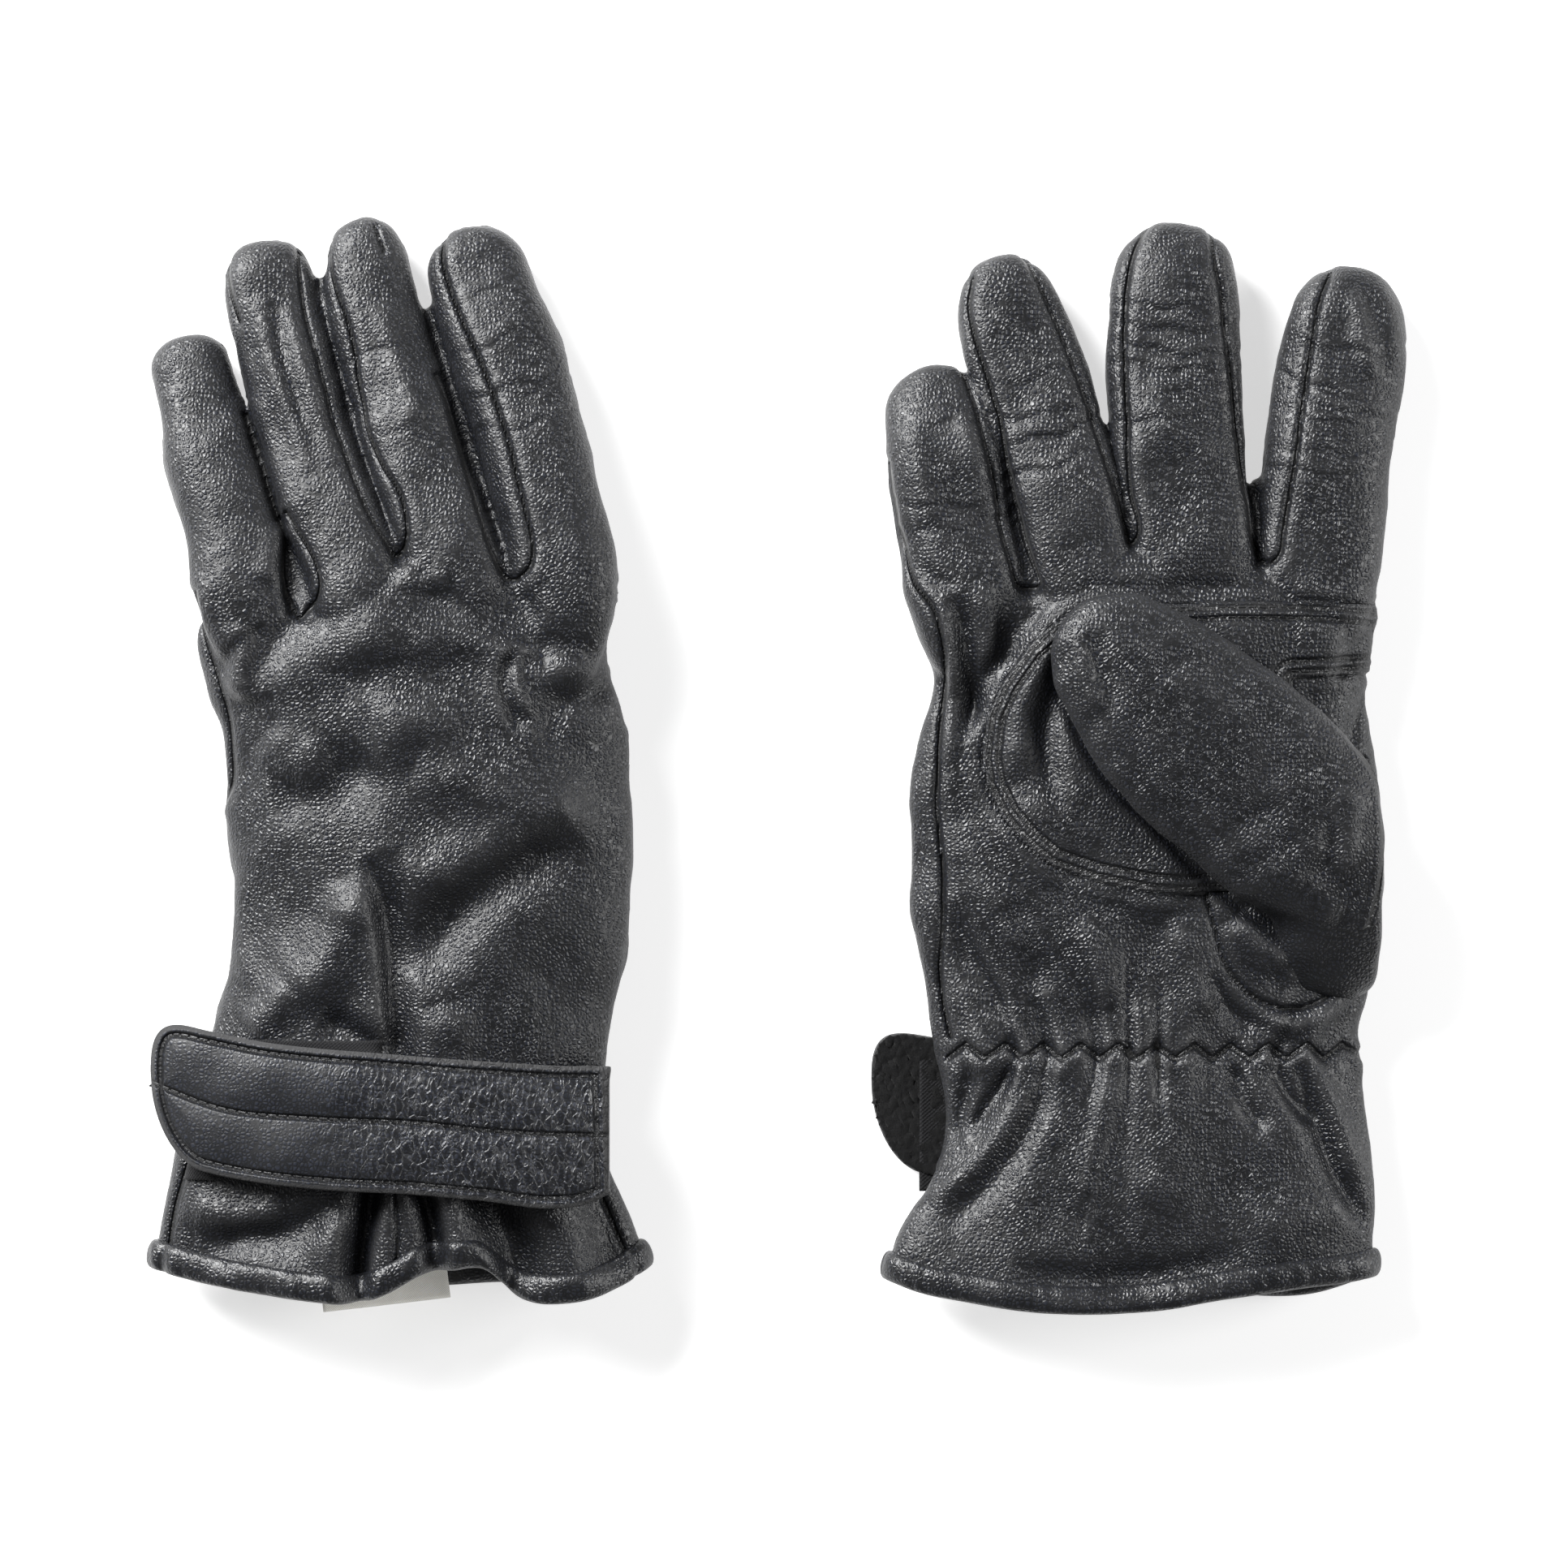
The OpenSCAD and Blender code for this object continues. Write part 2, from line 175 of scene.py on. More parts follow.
# The thumb from its root in the hand's edge to its tip, on the right glove.
THUMB_LINE = [(137, -60, 14, 11, 5.5), (139, -48, 19, 14.5, 8), (140.6, -37, 23.5, 18, 9.6),
              (135.6, -21.6, 29.6, 22.6, 8.4), (124, -9.2, 31.8, 24.4, 6.7),
              (107.4, 5.6, 32.3, 24.6, 6.2), (92.6, 19.2, 32.2, 22, 6),
              (80.6, 31, 31.8, 16.6, 5.6), (72.6, 38.8, 31.2, 12, 5)]
LEFT_THUMB_TOP = 15.5    # the left thumb's root stays below the hand's side
HAND_SIDE_X = 152.0  # the thumb folds in line with the hand's index side
THUMB_FOLD = (134.5, -24.0)
# The strap's two long edges from its sewn end to its free end, on the left glove, and
# where each glove's strap ends (the right one's as it would lie on the left glove).
STRAP_TOP = [(-43.6, -75.8), (-56, -75.6), (-71.6, -74.6), (-88, -73.4), (-103.9, -72.1),
             (-118, -71), (-131.7, -69.4), (-144, -67), (-152, -65.4), (-166, -64)]
STRAP_LOW = [(-43.6, -108), (-50, -110.8), (-57.7, -111.6), (-76.2, -109.4), (-94.7, -107.8),
             (-116.9, -106.6), (-140.9, -103.6), (-154.8, -100.4), (-166, -99)]
STRAP_ROOT = -44.0
STRAP_TIP = {"left": -160.1, "right": -165.8}
STRAP_THICK = 2.1
STRAP_STITCH = [(-44.3, -93.3), (-66.9, -92.4), (-94.7, -89.7), (-118.7, -88.7),
                (-141.8, -86.4), (-157.5, -80.9), (-161, -79.5)]
HEM_MARGIN = 2.6     # how far the strap's rows of stitches lie from its edge
PLEAT_X = -97.6      # middle of the pleated wedge, on the left glove
PLEAT_HALF = 9.2     # half its width
WRIST_Y = -72.6      # the elastic and its zigzag, on the right glove
SHELL_NODES = {"hand": ("back_panel", "palm_panel", "side_gusset", "palm_patch"),
               "cuff": ("cuff_back", "cuff_palm"), "cuff_pleat": ("cuff_gusset",)}

# ---- Seams, folds and creases ------------------------------------------------------
# Turned seams on the sides that show: the left glove's back, the right one's palm.
SEAMS = {
    "left": [
        [(-136.7, 90), (-132.6, 77.5), (-129.3, 66.4), (-127, 58), (-125.6, 48),
         (-122.4, 37.5), (-118, 44.2), (-119, 51), (-122.4, 57), (-126, 64)],
        [(-123.3, 133), (-122.4, 122.7), (-120.9, 113.5), (-116.9, 99.6), (-113, 86.7),
         (-109.5, 76.5), (-105.8, 66.4), (-101.2, 58), (-97.6, 53.2), (-95.2, 58),
         (-95.4, 63), (-97.6, 70), (-102.4, 77.4), (-105.8, 85.8), (-108, 96),
         (-109, 105.2), (-110.8, 113.5), (-114.2, 121.8), (-116.4, 129.2), (-116.8, 137)],
        [(-87.6, 99.6), (-83.6, 88.5), (-79.9, 77.5), (-76.2, 64.5), (-72.6, 54.4),
         (-68.4, 47.1), (-64.4, 50), (-63.4, 55.4), (-64.8, 62.8), (-67, 72),
         (-69.2, 81.2), (-72.6, 91.4), (-76.2, 101.4), (-80.8, 111.6), (-85, 121.8),
         (-86.9, 128.2), (-87, 135.6)],
        [(-104, 137.5), (-101.5, 131)],
        [(-149, 44.2), (-148, 36.8), (-146, 28.4), (-143.8, 22), (-141.5, 14.6),
         (-140.6, 1), (-141, -4.6), (-143.2, -9.2)],
        [(-140.6, 134), (-141.4, 127.4), (-140.8, 121.8), (-138.6, 113.4)],
        [(-150.6, -100), (-154.4, -111.8), (-157.4, -128.5)],
        [(-98.2, -104), (-97.6, -118), (-97.2, -130)],
        [(-46.5, -106), (-41, -120), (-36.6, -130.5)],
    ],
    "right": [
        [(46.2, 100.7), (49, 91.7), (51.4, 81.2), (54.3, 70.8), (55.7, 62.2),
         (58, 52.7), (61, 45.6), (64, 45.2)],
        [(27.2, 77.4), (28.6, 65.1), (30, 55.6), (33.4, 46), (38.1, 40.3), (40.5, 32.7),
         (41, 22.3), (40, 12.8), (39.4, -3.2), (39.1, -9.2), (40.5, -28.2), (40.5, -40.6),
         (39.8, -53.9), (41, -63.4), (42.4, -69)],
        [(48.6, 124.5), (47.4, 118.3), (49, 108.8), (51.4, 100.2), (54.8, 88.8),
         (57.6, 73.6), (60.5, 60.3), (64.6, 46)],
        [(61.9, 129.9), (66.2, 122.1), (70.9, 111.6), (74.7, 100.2), (78.5, 89.8),
         (81.4, 79.3), (84.2, 69.8), (87.1, 61.3), (88.8, 56.5), (89.5, 57.5),
         (88.5, 69.8), (88, 79.3), (87.6, 88.8), (86.9, 100.2), (86.9, 110.7),
         (87.6, 121.1), (89.5, 130.6), (93.7, 138.4)],
        [(109.4, 136.8), (109.9, 128.7), (111.8, 120.2), (112.8, 109.7), (114.2, 100.2),
         (115.6, 88.8), (117, 77.4), (118.5, 67), (120.4, 55.5), (121.8, 52.2),
         (124.2, 51.7), (125.6, 53.2), (127, 60.3), (128.4, 67.9), (130.3, 77.4),
         (131.8, 88.8), (133.2, 98.3), (135.1, 108.8), (137, 118.3), (139.9, 126.1)],
        [(107.4, -32.5), (109.4, -40), (111.8, -49), (115.6, -55.2), (120.8, -59.4),
         (127, -61.6), (134, -61), (140.4, -57.2), (146, -50), (149.8, -40),
         (151.6, -24), (150.6, -8), (148.2, 2)],
    ],
    "thumb": [
        [(143, 7), (149, -2), (151, -10), (151.4, -19), (149.6, -34), (146, -46)],
    ],
}
# The outline of the palm's second layer on the right glove, round its open left side.
PATCH = [(154, 40.8), (131.8, 41.8), (112.8, 41.8), (93.7, 40.8), (78, 39.6),
         (69, 36.5), (62.4, 30.8), (55.7, 21.3), (51.9, 12.8), (50.6, 2), (51.9, -5.4),
         (55.7, -13), (61.4, -19.6), (68.1, -25.3), (79.5, -29.2), (93.7, -32),
         (103.3, -32.5), (115.6, -31.5), (127, -27), (132, -10), (129, 22.4),
         (154, 24.2)]
# Folds: points along the crest, height (negative for a valley), and the reach to
# its left and to its right, seen along the crest.
FOLDS = {
    "left": [
        ([(-67, 30), (-70, 24.8), (-70.2, 19.6), (-69, 15.4), (-66.6, 9)], -2.4, 3.2, 1.8),
        ([(-65, 31), (-67.6, 25.4), (-67.2, 18.4), (-64, 12)], 1.7, 1.6, 6),
        ([(-116, 20), (-104, 22), (-90, 23.5), (-76.4, 25.8), (-70.8, 26.6)], -0.9, 6, 8),
        ([(-113, 31), (-96, 32), (-82, 33), (-71, 34)], 0.9, 7, 6),
        ([(-122.4, 36), (-129, 30), (-137.6, 19.6)], -1.0, 4, 5),
        ([(-135, 36), (-137.4, 26), (-136, 17)], 1.4, 3, 4),
        ([(-142.7, 23), (-138.2, 30.4), (-130, 35)], -1.2, 2.2, 3),
        ([(-45.6, 28.6), (-53, 29.6), (-62.4, 31.4)], -0.8, 3.4, 4),
        ([(-44, 16.6), (-53, 18.4), (-57.6, 12.8), (-58, 4)], -1.1, 3.6, 4),
        ([(-47, 23), (-56, 23.4), (-61, 19)], 0.7, 4, 4),
        ([(-53, -15.6), (-62.4, -23), (-76.2, -31.4), (-87.2, -43.4), (-94, -54)], -3.0, 7, 7),
        ([(-44, -14), (-58, -13), (-72, -21), (-84, -27), (-96, -27)], 2.2, 7, 7),
        ([(-104.6, -22), (-101, -34), (-99.6, -46), (-98.6, -58), (-97.4, -73), (-96, -88)],
         -2.9, 5.5, 2.4),
        ([(-108, -27), (-104, -40), (-102.6, -54), (-101, -72), (-100, -86)], 1.3, 2, 6),
        ([(-109.6, -29.6), (-111.3, -43.4), (-115, -49), (-124, -60)], 1.9, 6, 6),
        ([(-84, -60), (-82, -70), (-82, -80)], 1.4, 6, 7),
        ([(-129.9, -8.4), (-118, -7.4), (-110.6, -2.6), (-104, 4)], -1.5, 6, 7),
        ([(-131, 8), (-124, 1.8), (-114, 3.4)], 1.0, 6, 6),
        ([(-138.2, -26.8), (-137.4, -45.3), (-134, -58)], 1.0, 3, 4),
        ([(-124.3, -56.4), (-135.3, -67.4)], 1.4, 5, 5),
        ([(-116.9, -63.7), (-104, -70.3), (-98, -74)], -1.8, 4, 4),
        ([(-49.3, -2), (-60, -6), (-76, -6), (-92, 2)], 1.3, 8, 8),
        ([(-80, 8), (-92, 12), (-104, 12)], 1.0, 7, 6),
        ([(-94.6, 48), (-86, 42), (-72, 38), (-60, 40)], -1.1, 5, 5),
        ([(-95, 52), (-92, 47), (-84, 47)], 1.0, 3, 3),
        ([(-127.6, 62), (-129.4, 54), (-131, 46)], 1.0, 3, 3),
        ([(-126.4, 118), (-122.6, 104), (-117.4, 88), (-113, 76)], 1.0, 2.4, 3.4),
        ([(-133.4, 120), (-130, 104), (-124.4, 88), (-120, 74)], 1.0, 3, 2.6),
        ([(-130.2, 118), (-126.4, 102), (-121, 86)], -0.8, 2, 2),
        ([(-103.2, 118), (-97, 100), (-92, 84)], 0.9, 3.6, 4),
        ([(-102, -100), (-105, -114), (-107, -126), (-107, -137)], -5.5, 2.4, 4),
        ([(-94.4, -100), (-89.4, -113), (-88, -121), (-88.4, -134)], -4.0, 2.6, 2.6),
        ([(-77, -102), (-72.4, -113), (-68.4, -122), (-67.4, -137)], -5.0, 6, 5),
        ([(-86, -102), (-83.6, -112), (-80, -124)], 1.6, 4, 5),
        ([(-61, -106), (-56, -120), (-52, -137)], 1.4, 6, 6),
        ([(-48, -106), (-45, -118), (-42, -132)], -1.2, 3, 4),
        ([(-152, -111), (-140, -114), (-126, -112)], 1.3, 4, 4),
        ([(-148, -121), (-130, -119), (-112, -112)], -1.8, 4, 5),
        ([(-112, -112), (-113, -124), (-114, -137)], 1.8, 5, 6),
        ([(-140, -122), (-128, -127), (-119, -134)], 0.9, 4, 4),
    ],
    "right": [
        ([(71, 36), (69.8, 22), (75, 9), (84.6, -5.8), (95.4, -16), (105, -26.6), (116.4, -35.6),
          (129, -48)], -1.5, 4.5, 2.0),
        ([(43.4, 44), (46.2, 34), (47.6, 20), (45.4, 6)], -2.0, 2.4, 2.8),
        ([(40, 40), (43, 30), (43.6, 14), (42, 0)], 1.0, 1.8, 2),
        ([(50, 47), (52.6, 36), (54, 24)], 1.0, 2.6, 3),
        ([(60, 42), (56.4, 30), (50.4, 20), (47, 8)], -1.6, 2.6, 3.4),
        ([(64.6, 42), (61.4, 34), (55.4, 24)], -1.0, 2.2, 2.2),
        ([(70, 37), (64.6, 24), (60.4, 10), (60, -4)], 1.5, 4, 5),
        ([(72.2, 30), (68, 16), (67, 2), (71, -12)], -1.2, 3, 3),
        ([(43.4, -14), (50, -28), (57.6, -40), (64, -50)], 1.2, 4, 5),
        ([(43, -34), (46.4, -47), (53, -58), (58.6, -66)], -1.3, 3.2, 3.4),
        ([(56.6, -34), (63, -46), (66, -58)], -1.0, 4, 4),
        ([(76, -38), (80, -50), (82.6, -62)], 1.0, 5, 5),
        ([(93, -36), (92, -50), (88, -62)], -0.9, 5, 5),
        ([(101, -38), (104, -52), (109, -63)], 1.2, 4.4, 4.4),
        ([(108, -52), (114, -62), (122, -68)], -1.3, 2.6, 2.6),
        ([(115, -38), (120, -45), (128, -50)], 1.4, 5, 5),
        ([(121, -63.4), (131, -66), (141, -60), (148, -50)], 1.3, 2.6, 2.6),
        ([(143, -35), (146, -48), (142, -56)], 1.0, 3, 3),
        ([(150.4, 20), (146, 12), (144, 2)], -1.2, 2.4, 3),
        ([(143, 38), (143.4, 30), (141.4, 22)], -0.8, 2.6, 2.6),
        ([(74, 45.6), (88, 44.8), (106, 45.2), (124, 45)], -0.9, 2.4, 2.4),
        ([(125, 46), (133, 41), (142, 37)], -0.9, 3, 3),
        ([(30, 62), (36, 49), (44, 44)], -0.9, 3, 3),
        ([(92, 98), (101, 84), (112, 80)], 0.8, 5, 5),
        ([(33, 88), (35, 74), (39, 62)], 1.0, 3, 4),
        ([(45.6, 90), (48.4, 78), (51.4, 64)], 0.9, 3, 3),
        ([(145.6, 122), (147.6, 110), (151, 98)], 1.1, 2.4, 2.4),
        ([(151.6, 124), (155.4, 112), (156, 100)], 0.9, 2.4, 2.4),
        ([(49, -76), (45.6, -86), (41.6, -97)], -1.6, 2.6, 2.6),
        ([(58.6, -76), (53, -84), (47, -94)], -1.7, 2.2, 2.2),
        ([(65, -79), (56, -93), (46, -104), (37, -111)], 1.4, 3, 3),
        ([(69, -78), (62, -92), (52, -106), (40, -118)], -1.4, 3.4, 4),
        ([(84, -78), (80, -98), (76, -114)], 1.0, 2, 5),
        ([(113.7, -76), (118, -85), (122.6, -93)], -1.6, 2.2, 2.2),
        ([(123.2, -75), (129, -84), (136, -91)], -1.7, 2.2, 2.2),
        ([(130.8, -75), (137, -92), (141.5, -104), (149, -118)], -2.0, 2.6, 2.6),
        ([(136, -76), (142, -92), (147, -106)], 1.0, 3, 3),
        ([(96, -80), (98, -96), (92, -112)], 0.8, 6, 6),
        ([(83.2, -77), (80.6, -95), (76.4, -113), (73.4, -129)], -0.45, 0.7, 0.7),
        ([(58, -127), (76, -130), (96, -128.6), (118, -124)], -1.4, 4, 5),
        ([(120, -119), (134, -113), (146, -112)], 0.9, 5, 5),
        ([(124, -50), (134, -47), (142, -40)], 1.6, 6, 6),
    ],
    "thumb": [
        ([(78.6, 34), (80, 24), (84.6, 14)], -1.1, 2.6, 2.6),
        ([(74.6, 34), (75.6, 24), (80, 14)], 0.9, 2.4, 2.4),
        ([(96, 22), (108, 8), (119, -6)], 1.0, 8, 8),
        ([(136.6, -12), (137.4, -24), (131.6, -30), (138, -37)], -1.2, 2.8, 2.8),
        ([(140.6, -4), (142.4, -16), (140, -28)], 1.0, 2.6, 3),
        ([(128.6, -26), (134, -33), (141, -38)], 1.2, 3.6, 3),
        ([(120, -8), (124, -17), (130, -22)], -0.7, 4, 4),
    ],
}
# Bending creases across the fingers: finger, share of the way to its tip, depth. Each
# side's depths are all multiplied by its share.
CREASE_SHARE = {"left": 0.7, "right": 0.85}
CREASES = {
    "left": [("index", 0.62, 0.22), ("index", 0.47, 0.32), ("index", 0.44, 0.22),
             ("index", 0.34, 0.26), ("index", 0.78, 0.2), ("middle", 0.6, 0.2),
             ("middle", 0.35, 0.22), ("little", 0.72, 0.2), ("ring", 0.66, 0.16)],
    "right": [("middle", 0.72, 0.3), ("middle", 0.66, 0.42), ("middle", 0.58, 0.55),
              ("middle", 0.52, 0.4), ("middle", 0.44, 0.26), ("middle", 0.36, 0.34),
              ("ring", 0.58, 0.24), ("ring", 0.46, 0.3), ("ring", 0.36, 0.46),
              ("ring", 0.27, 0.4), ("index", 0.7, 0.34), ("index", 0.56, 0.45),
              ("index", 0.5, 0.5), ("index", 0.44, 0.3), ("index", 0.34, 0.3),
              ("index", 0.26, 0.28), ("little", 0.72, 0.28), ("little", 0.36, 0.3),
              ("little", 0.28, 0.3)],
}


# ---- Curves and grids --------------------------------------------------------------
def unit(vectors):
    """Each vector divided by its own length."""
    return vectors / np.maximum(np.linalg.norm(vectors, axis=-1, keepdims=True), 1e-9)


def ease(value):
    """0 below 0, 1 above 1 and 3t^2 - 2t^3 between."""
    t = np.clip(value, 0.0, 1.0)
    return t * t * (3 - 2 * t)


def through(points, count):
    """A smooth curve through points: cubic pieces whose slopes follow the neighbours."""
    p = np.asarray(points, float)
    step = np.linalg.norm(np.diff(p[:, :2], axis=0), axis=1)
    knots = np.concatenate([[0.0], np.cumsum(step)])
    slope = np.gradient(p, knots, axis=0)
    s = np.linspace(0.0, knots[-1], count)
    i = np.clip(np.searchsorted(knots, s, side="right") - 1, 0, len(knots) - 2)
    h = (knots[i + 1] - knots[i])[:, None]
    u = (s - knots[i])[:, None] / h
    start = p[i] * (1 + 2 * u) * (1 - u) ** 2 + h * slope[i] * u * (1 - u) ** 2
    end = p[i + 1] * u ** 2 * (3 - 2 * u) - h * slope[i + 1] * u ** 2 * (1 - u)
    return start + end


def to_path(xy, points, samples=None):
    """Distance from each place to a path, with the length run along the path there, the
    share of it, and +1 or -1 for the path's left or right side. It is the least over
    the path's straight pieces."""
    path = np.asarray(points, float)
    if samples:
        path = through(path, samples)
    best = np.full(len(xy), 1e9)
    run = np.zeros(len(xy))
    side = np.ones(len(xy))
    start = 0.0
    for a, b in zip(path[:-1, :2], path[1:, :2]):
        d = b - a
        length = math.hypot(*d)
        if length < 1e-6:
            continue
        t = np.clip(((xy - a) @ d) / length ** 2, 0.0, 1.0)
        off = xy - (a + t[:, None] * d)
        dist = np.hypot(off[:, 0], off[:, 1])
        closer = dist < best
        best[closer] = dist[closer]
        run[closer] = start + t[closer] * length
        side[closer] = np.where(d[0] * off[closer, 1] - d[1] * off[closer, 0] > 0, 1.0, -1.0)
        start += length
    return best, run, run / max(start, 1e-9), side


def near(xy, points, reach):
    """The places within reach of a path's own box, as an index array."""
    p = np.asarray(points, float)[:, :2]
    low, high = p.min(0) - reach, p.max(0) + reach
    return np.nonzero(((xy >= low) & (xy <= high)).all(1))[0]


def inside(xy, outline):
    """True where a place lies inside a closed outline: an odd number of its sides are
    crossed on the way out along +X."""
    p = np.asarray(outline, float)
    odd = np.zeros(len(xy), bool)
    for a, b in zip(p, np.roll(p, -1, axis=0)):
        if abs(a[1] - b[1]) < 1e-9:
            continue
        across = (xy[:, 1] > a[1]) != (xy[:, 1] > b[1])
        odd ^= across & (xy[:, 0] < a[0] + (xy[:, 1] - a[1]) * (b[0] - a[0]) / (b[1] - a[1]))
    return odd


def ripple(points, length, seed, stretch=(1.0, 1.0, 1.0)):
    """A soft random field of about -1 to 1: the mean of 20 sines of one wave length in
    seeded directions."""
    rng = np.random.default_rng(seed)
    way = unit(rng.normal(size=(20, 3)))
    way *= (2 * math.pi / length) * rng.uniform(0.7, 1.3, (20, 1)) / np.array(stretch)
    phase = rng.uniform(0, 2 * math.pi, 20)
    return np.sin(points @ way.T + phase).sum(1) / math.sqrt(20)


def grid_faces(rows, columns, closed=True):
    """Quads of a grid of rows by columns, wrapped round the columns if closed."""
    r = np.arange(rows - 1)[:, None] * columns
    c = np.arange(columns if closed else columns - 1)[None, :]
    n = (c + 1) % columns
    return np.stack([r + c, r + n, r + columns + n, r + columns + c], -1).reshape(-1, 4)


def rings_solid(rings):
    """A closed solid from rings of points: quads between rings, and a fan of triangles
    round each end's middle. Returns its points, quads and triangles."""
    rows, columns, _ = rings.shape
    ends = [rings[0].mean(0)[None], rings[-1].mean(0)[None]]
    points = np.concatenate([rings.reshape(-1, 3), *ends])
    c = np.arange(columns)
    n = (c + 1) % columns
    low, high = rows * columns, rows * columns + 1
    last = (rows - 1) * columns
    start = np.stack([np.full(columns, low), n, c], -1)
    end = np.stack([np.full(columns, high), last + c, last + n], -1)
    return points, grid_faces(rows, columns), np.concatenate([start, end])


def squircle(count, square):
    """Across and up shares round a section: a circle's, each raised to 2 / square."""
    a = np.linspace(0, 2 * math.pi, count, endpoint=False)
    across = np.sign(np.cos(a)) * np.abs(np.cos(a)) ** (2 / square)
    up = np.sign(np.sin(a)) * np.abs(np.sin(a)) ** (2 / square)
    return across, up


def tube(line, rows, columns, square, root_cap=0.0):
    """A round-ended digit: sections of a squircle carried along a line of x, y, z, half
    width and half height, shrunk over the last half width as a circle's edge does, and
    over root_cap half widths at its root."""
    fine = through(line, 600)
    at = 1 - (1 - np.linspace(0, 1, rows)) ** 1.6
    c = np.stack([np.interp(at, np.linspace(0, 1, 600), fine[:, k]) for k in range(5)], 1)
    run = np.concatenate([[0], np.cumsum(np.linalg.norm(np.diff(c[:, :2], axis=0), axis=1))])
    along = unit(np.gradient(c[:, :2], run, axis=0))
    across = np.stack([along[:, 1], -along[:, 0]], 1)
    left = (run[-1] - run) / c[-1, 3]
    shrink = np.sqrt(np.clip(1 - np.clip(1 - left, 0, 1) ** 2.3, 0, 1))
    if root_cap:
        root = np.clip(1 - run / (c[0, 3] * root_cap), 0, 1)
        shrink *= np.sqrt(np.clip(1 - root ** 2.3, 0, 1))
    a, u = squircle(columns, square)
    wide = (c[:, 3] * shrink)[:, None] * a[None, :]
    high = (c[:, 4] * np.sqrt(shrink))[:, None] * u[None, :]
    x = c[:, 0][:, None] + across[:, 0][:, None] * wide
    y = c[:, 1][:, None] + across[:, 1][:, None] * wide
    return rings_solid(np.stack([x, y, c[:, 2][:, None] + high], -1))


def edge_x(side, which, y):
    """The sleeve's edge at a height along it, from a smooth curve through its points."""
    line = through(SLEEVE_EDGES[side][which], 300)
    return np.interp(y, line[:, 1], line[:, 0])


def sleeve(side, v, across, up):
    """Places on the sleeve of hand and cuff. v runs from below the mouth (0) to the
    knuckles (1), and across and up are shares of the half width and half height, on a
    squircle. Rows are straight at the cuff and bend to the hand's front at the end."""
    v, across, up = np.broadcast_arrays(v, across, up)
    s = (across + 1) / 2
    ends = [e[-1][1] for e in SLEEVE_EDGES[side]]
    y_low, y_high = (MOUTH_Y + v * (end - MOUTH_Y) for end in ends)
    x_low, x_high = edge_x(side, 0, y_low), edge_x(side, 1, y_high)
    x = x_low * (1 - s) + x_high * s
    y = y_low * (1 - s) + y_high * s
    front = through(HAND_FRONT[side], 400)
    share = np.linspace(0, 1, 400)
    corner = [e[-1] for e in SLEEVE_EDGES[side]]
    pull = ease((v - 0.6) / 0.4)
    x = x + pull * (np.interp(s, share, front[:, 0]) - corner[0][0] * (1 - s) - corner[1][0] * s)
    y = y + pull * (np.interp(s, share, front[:, 1]) - corner[0][1] * (1 - s) - corner[1][1] * s)
    table = np.array(SLEEVE_HEIGHTS[side], float)
    smooth = through(np.stack([table[:, 0], table[:, 0] * 0, *table[:, 1:].T], 1), 200)
    middle, half, sag_low, sag_high = (np.interp(y, smooth[:, 0], smooth[:, k])
                                       for k in (2, 3, 4, 5))
    droop = np.where(across < 0, sag_low, sag_high) * np.abs(across) ** 2.2
    ending = (1 - np.clip((v - 0.93) / 0.07, 0, 1) ** 2.4) ** (1 / 2.4)
    return np.stack([x, y, middle - droop + half * up * ending], -1)


def sleeve_share(side, y, across):
    """The v at which a row of the sleeve passes y, in the cuff, where rows are straight."""
    s = (across + 1) / 2
    ends = [e[-1][1] for e in SLEEVE_EDGES[side]]
    return (y - MOUTH_Y) / (ends[0] * (1 - s) + ends[1] * s - MOUTH_Y)


def hand_solid(side):
    """The sleeve as a solid, from below its mouth to the knuckles."""
    across, up = squircle(160, 2.4)
    return rings_solid(sleeve(side, np.linspace(0, 1, 150)[:, None], across[None], up[None]))


def hem_y(side, x, up):
    """The hem's middle line at x: the line that shows where up is above 0, and the line
    beneath where it is below."""
    seen, under = (np.array(line, float) for line in HEM_LINES[side])
    seen_y = np.interp(x, *through(seen, 200)[:, :2].T)
    under_y = np.interp(x, *through(under, 200)[:, :2].T)
    share = ease(up * 2 + 0.5)
    return seen_y * share + under_y * (1 - share)


# ---- Mesh work ---------------------------------------------------------------------
def mesh_from(name, points, quads, tris=None):
    """A mesh from points in millimetres, quads and triangles."""
    faces = np.asarray(quads, int).tolist()
    if tris is not None:
        faces += np.asarray(tris, int).tolist()
    mesh = bpy.data.meshes.new(name)
    mesh.from_pydata((np.asarray(points, float) * MM).tolist(), [], faces)
    mesh.update()
    return mesh


def add_object(name, mesh):
    """Links a new object that holds the mesh, shaded smooth, at the origin."""
    obj = bpy.data.objects.new(name, mesh)
    bpy.context.scene.collection.objects.link(obj)
    mesh.polygons.foreach_set("use_smooth", np.ones(len(mesh.polygons), bool))
    return obj


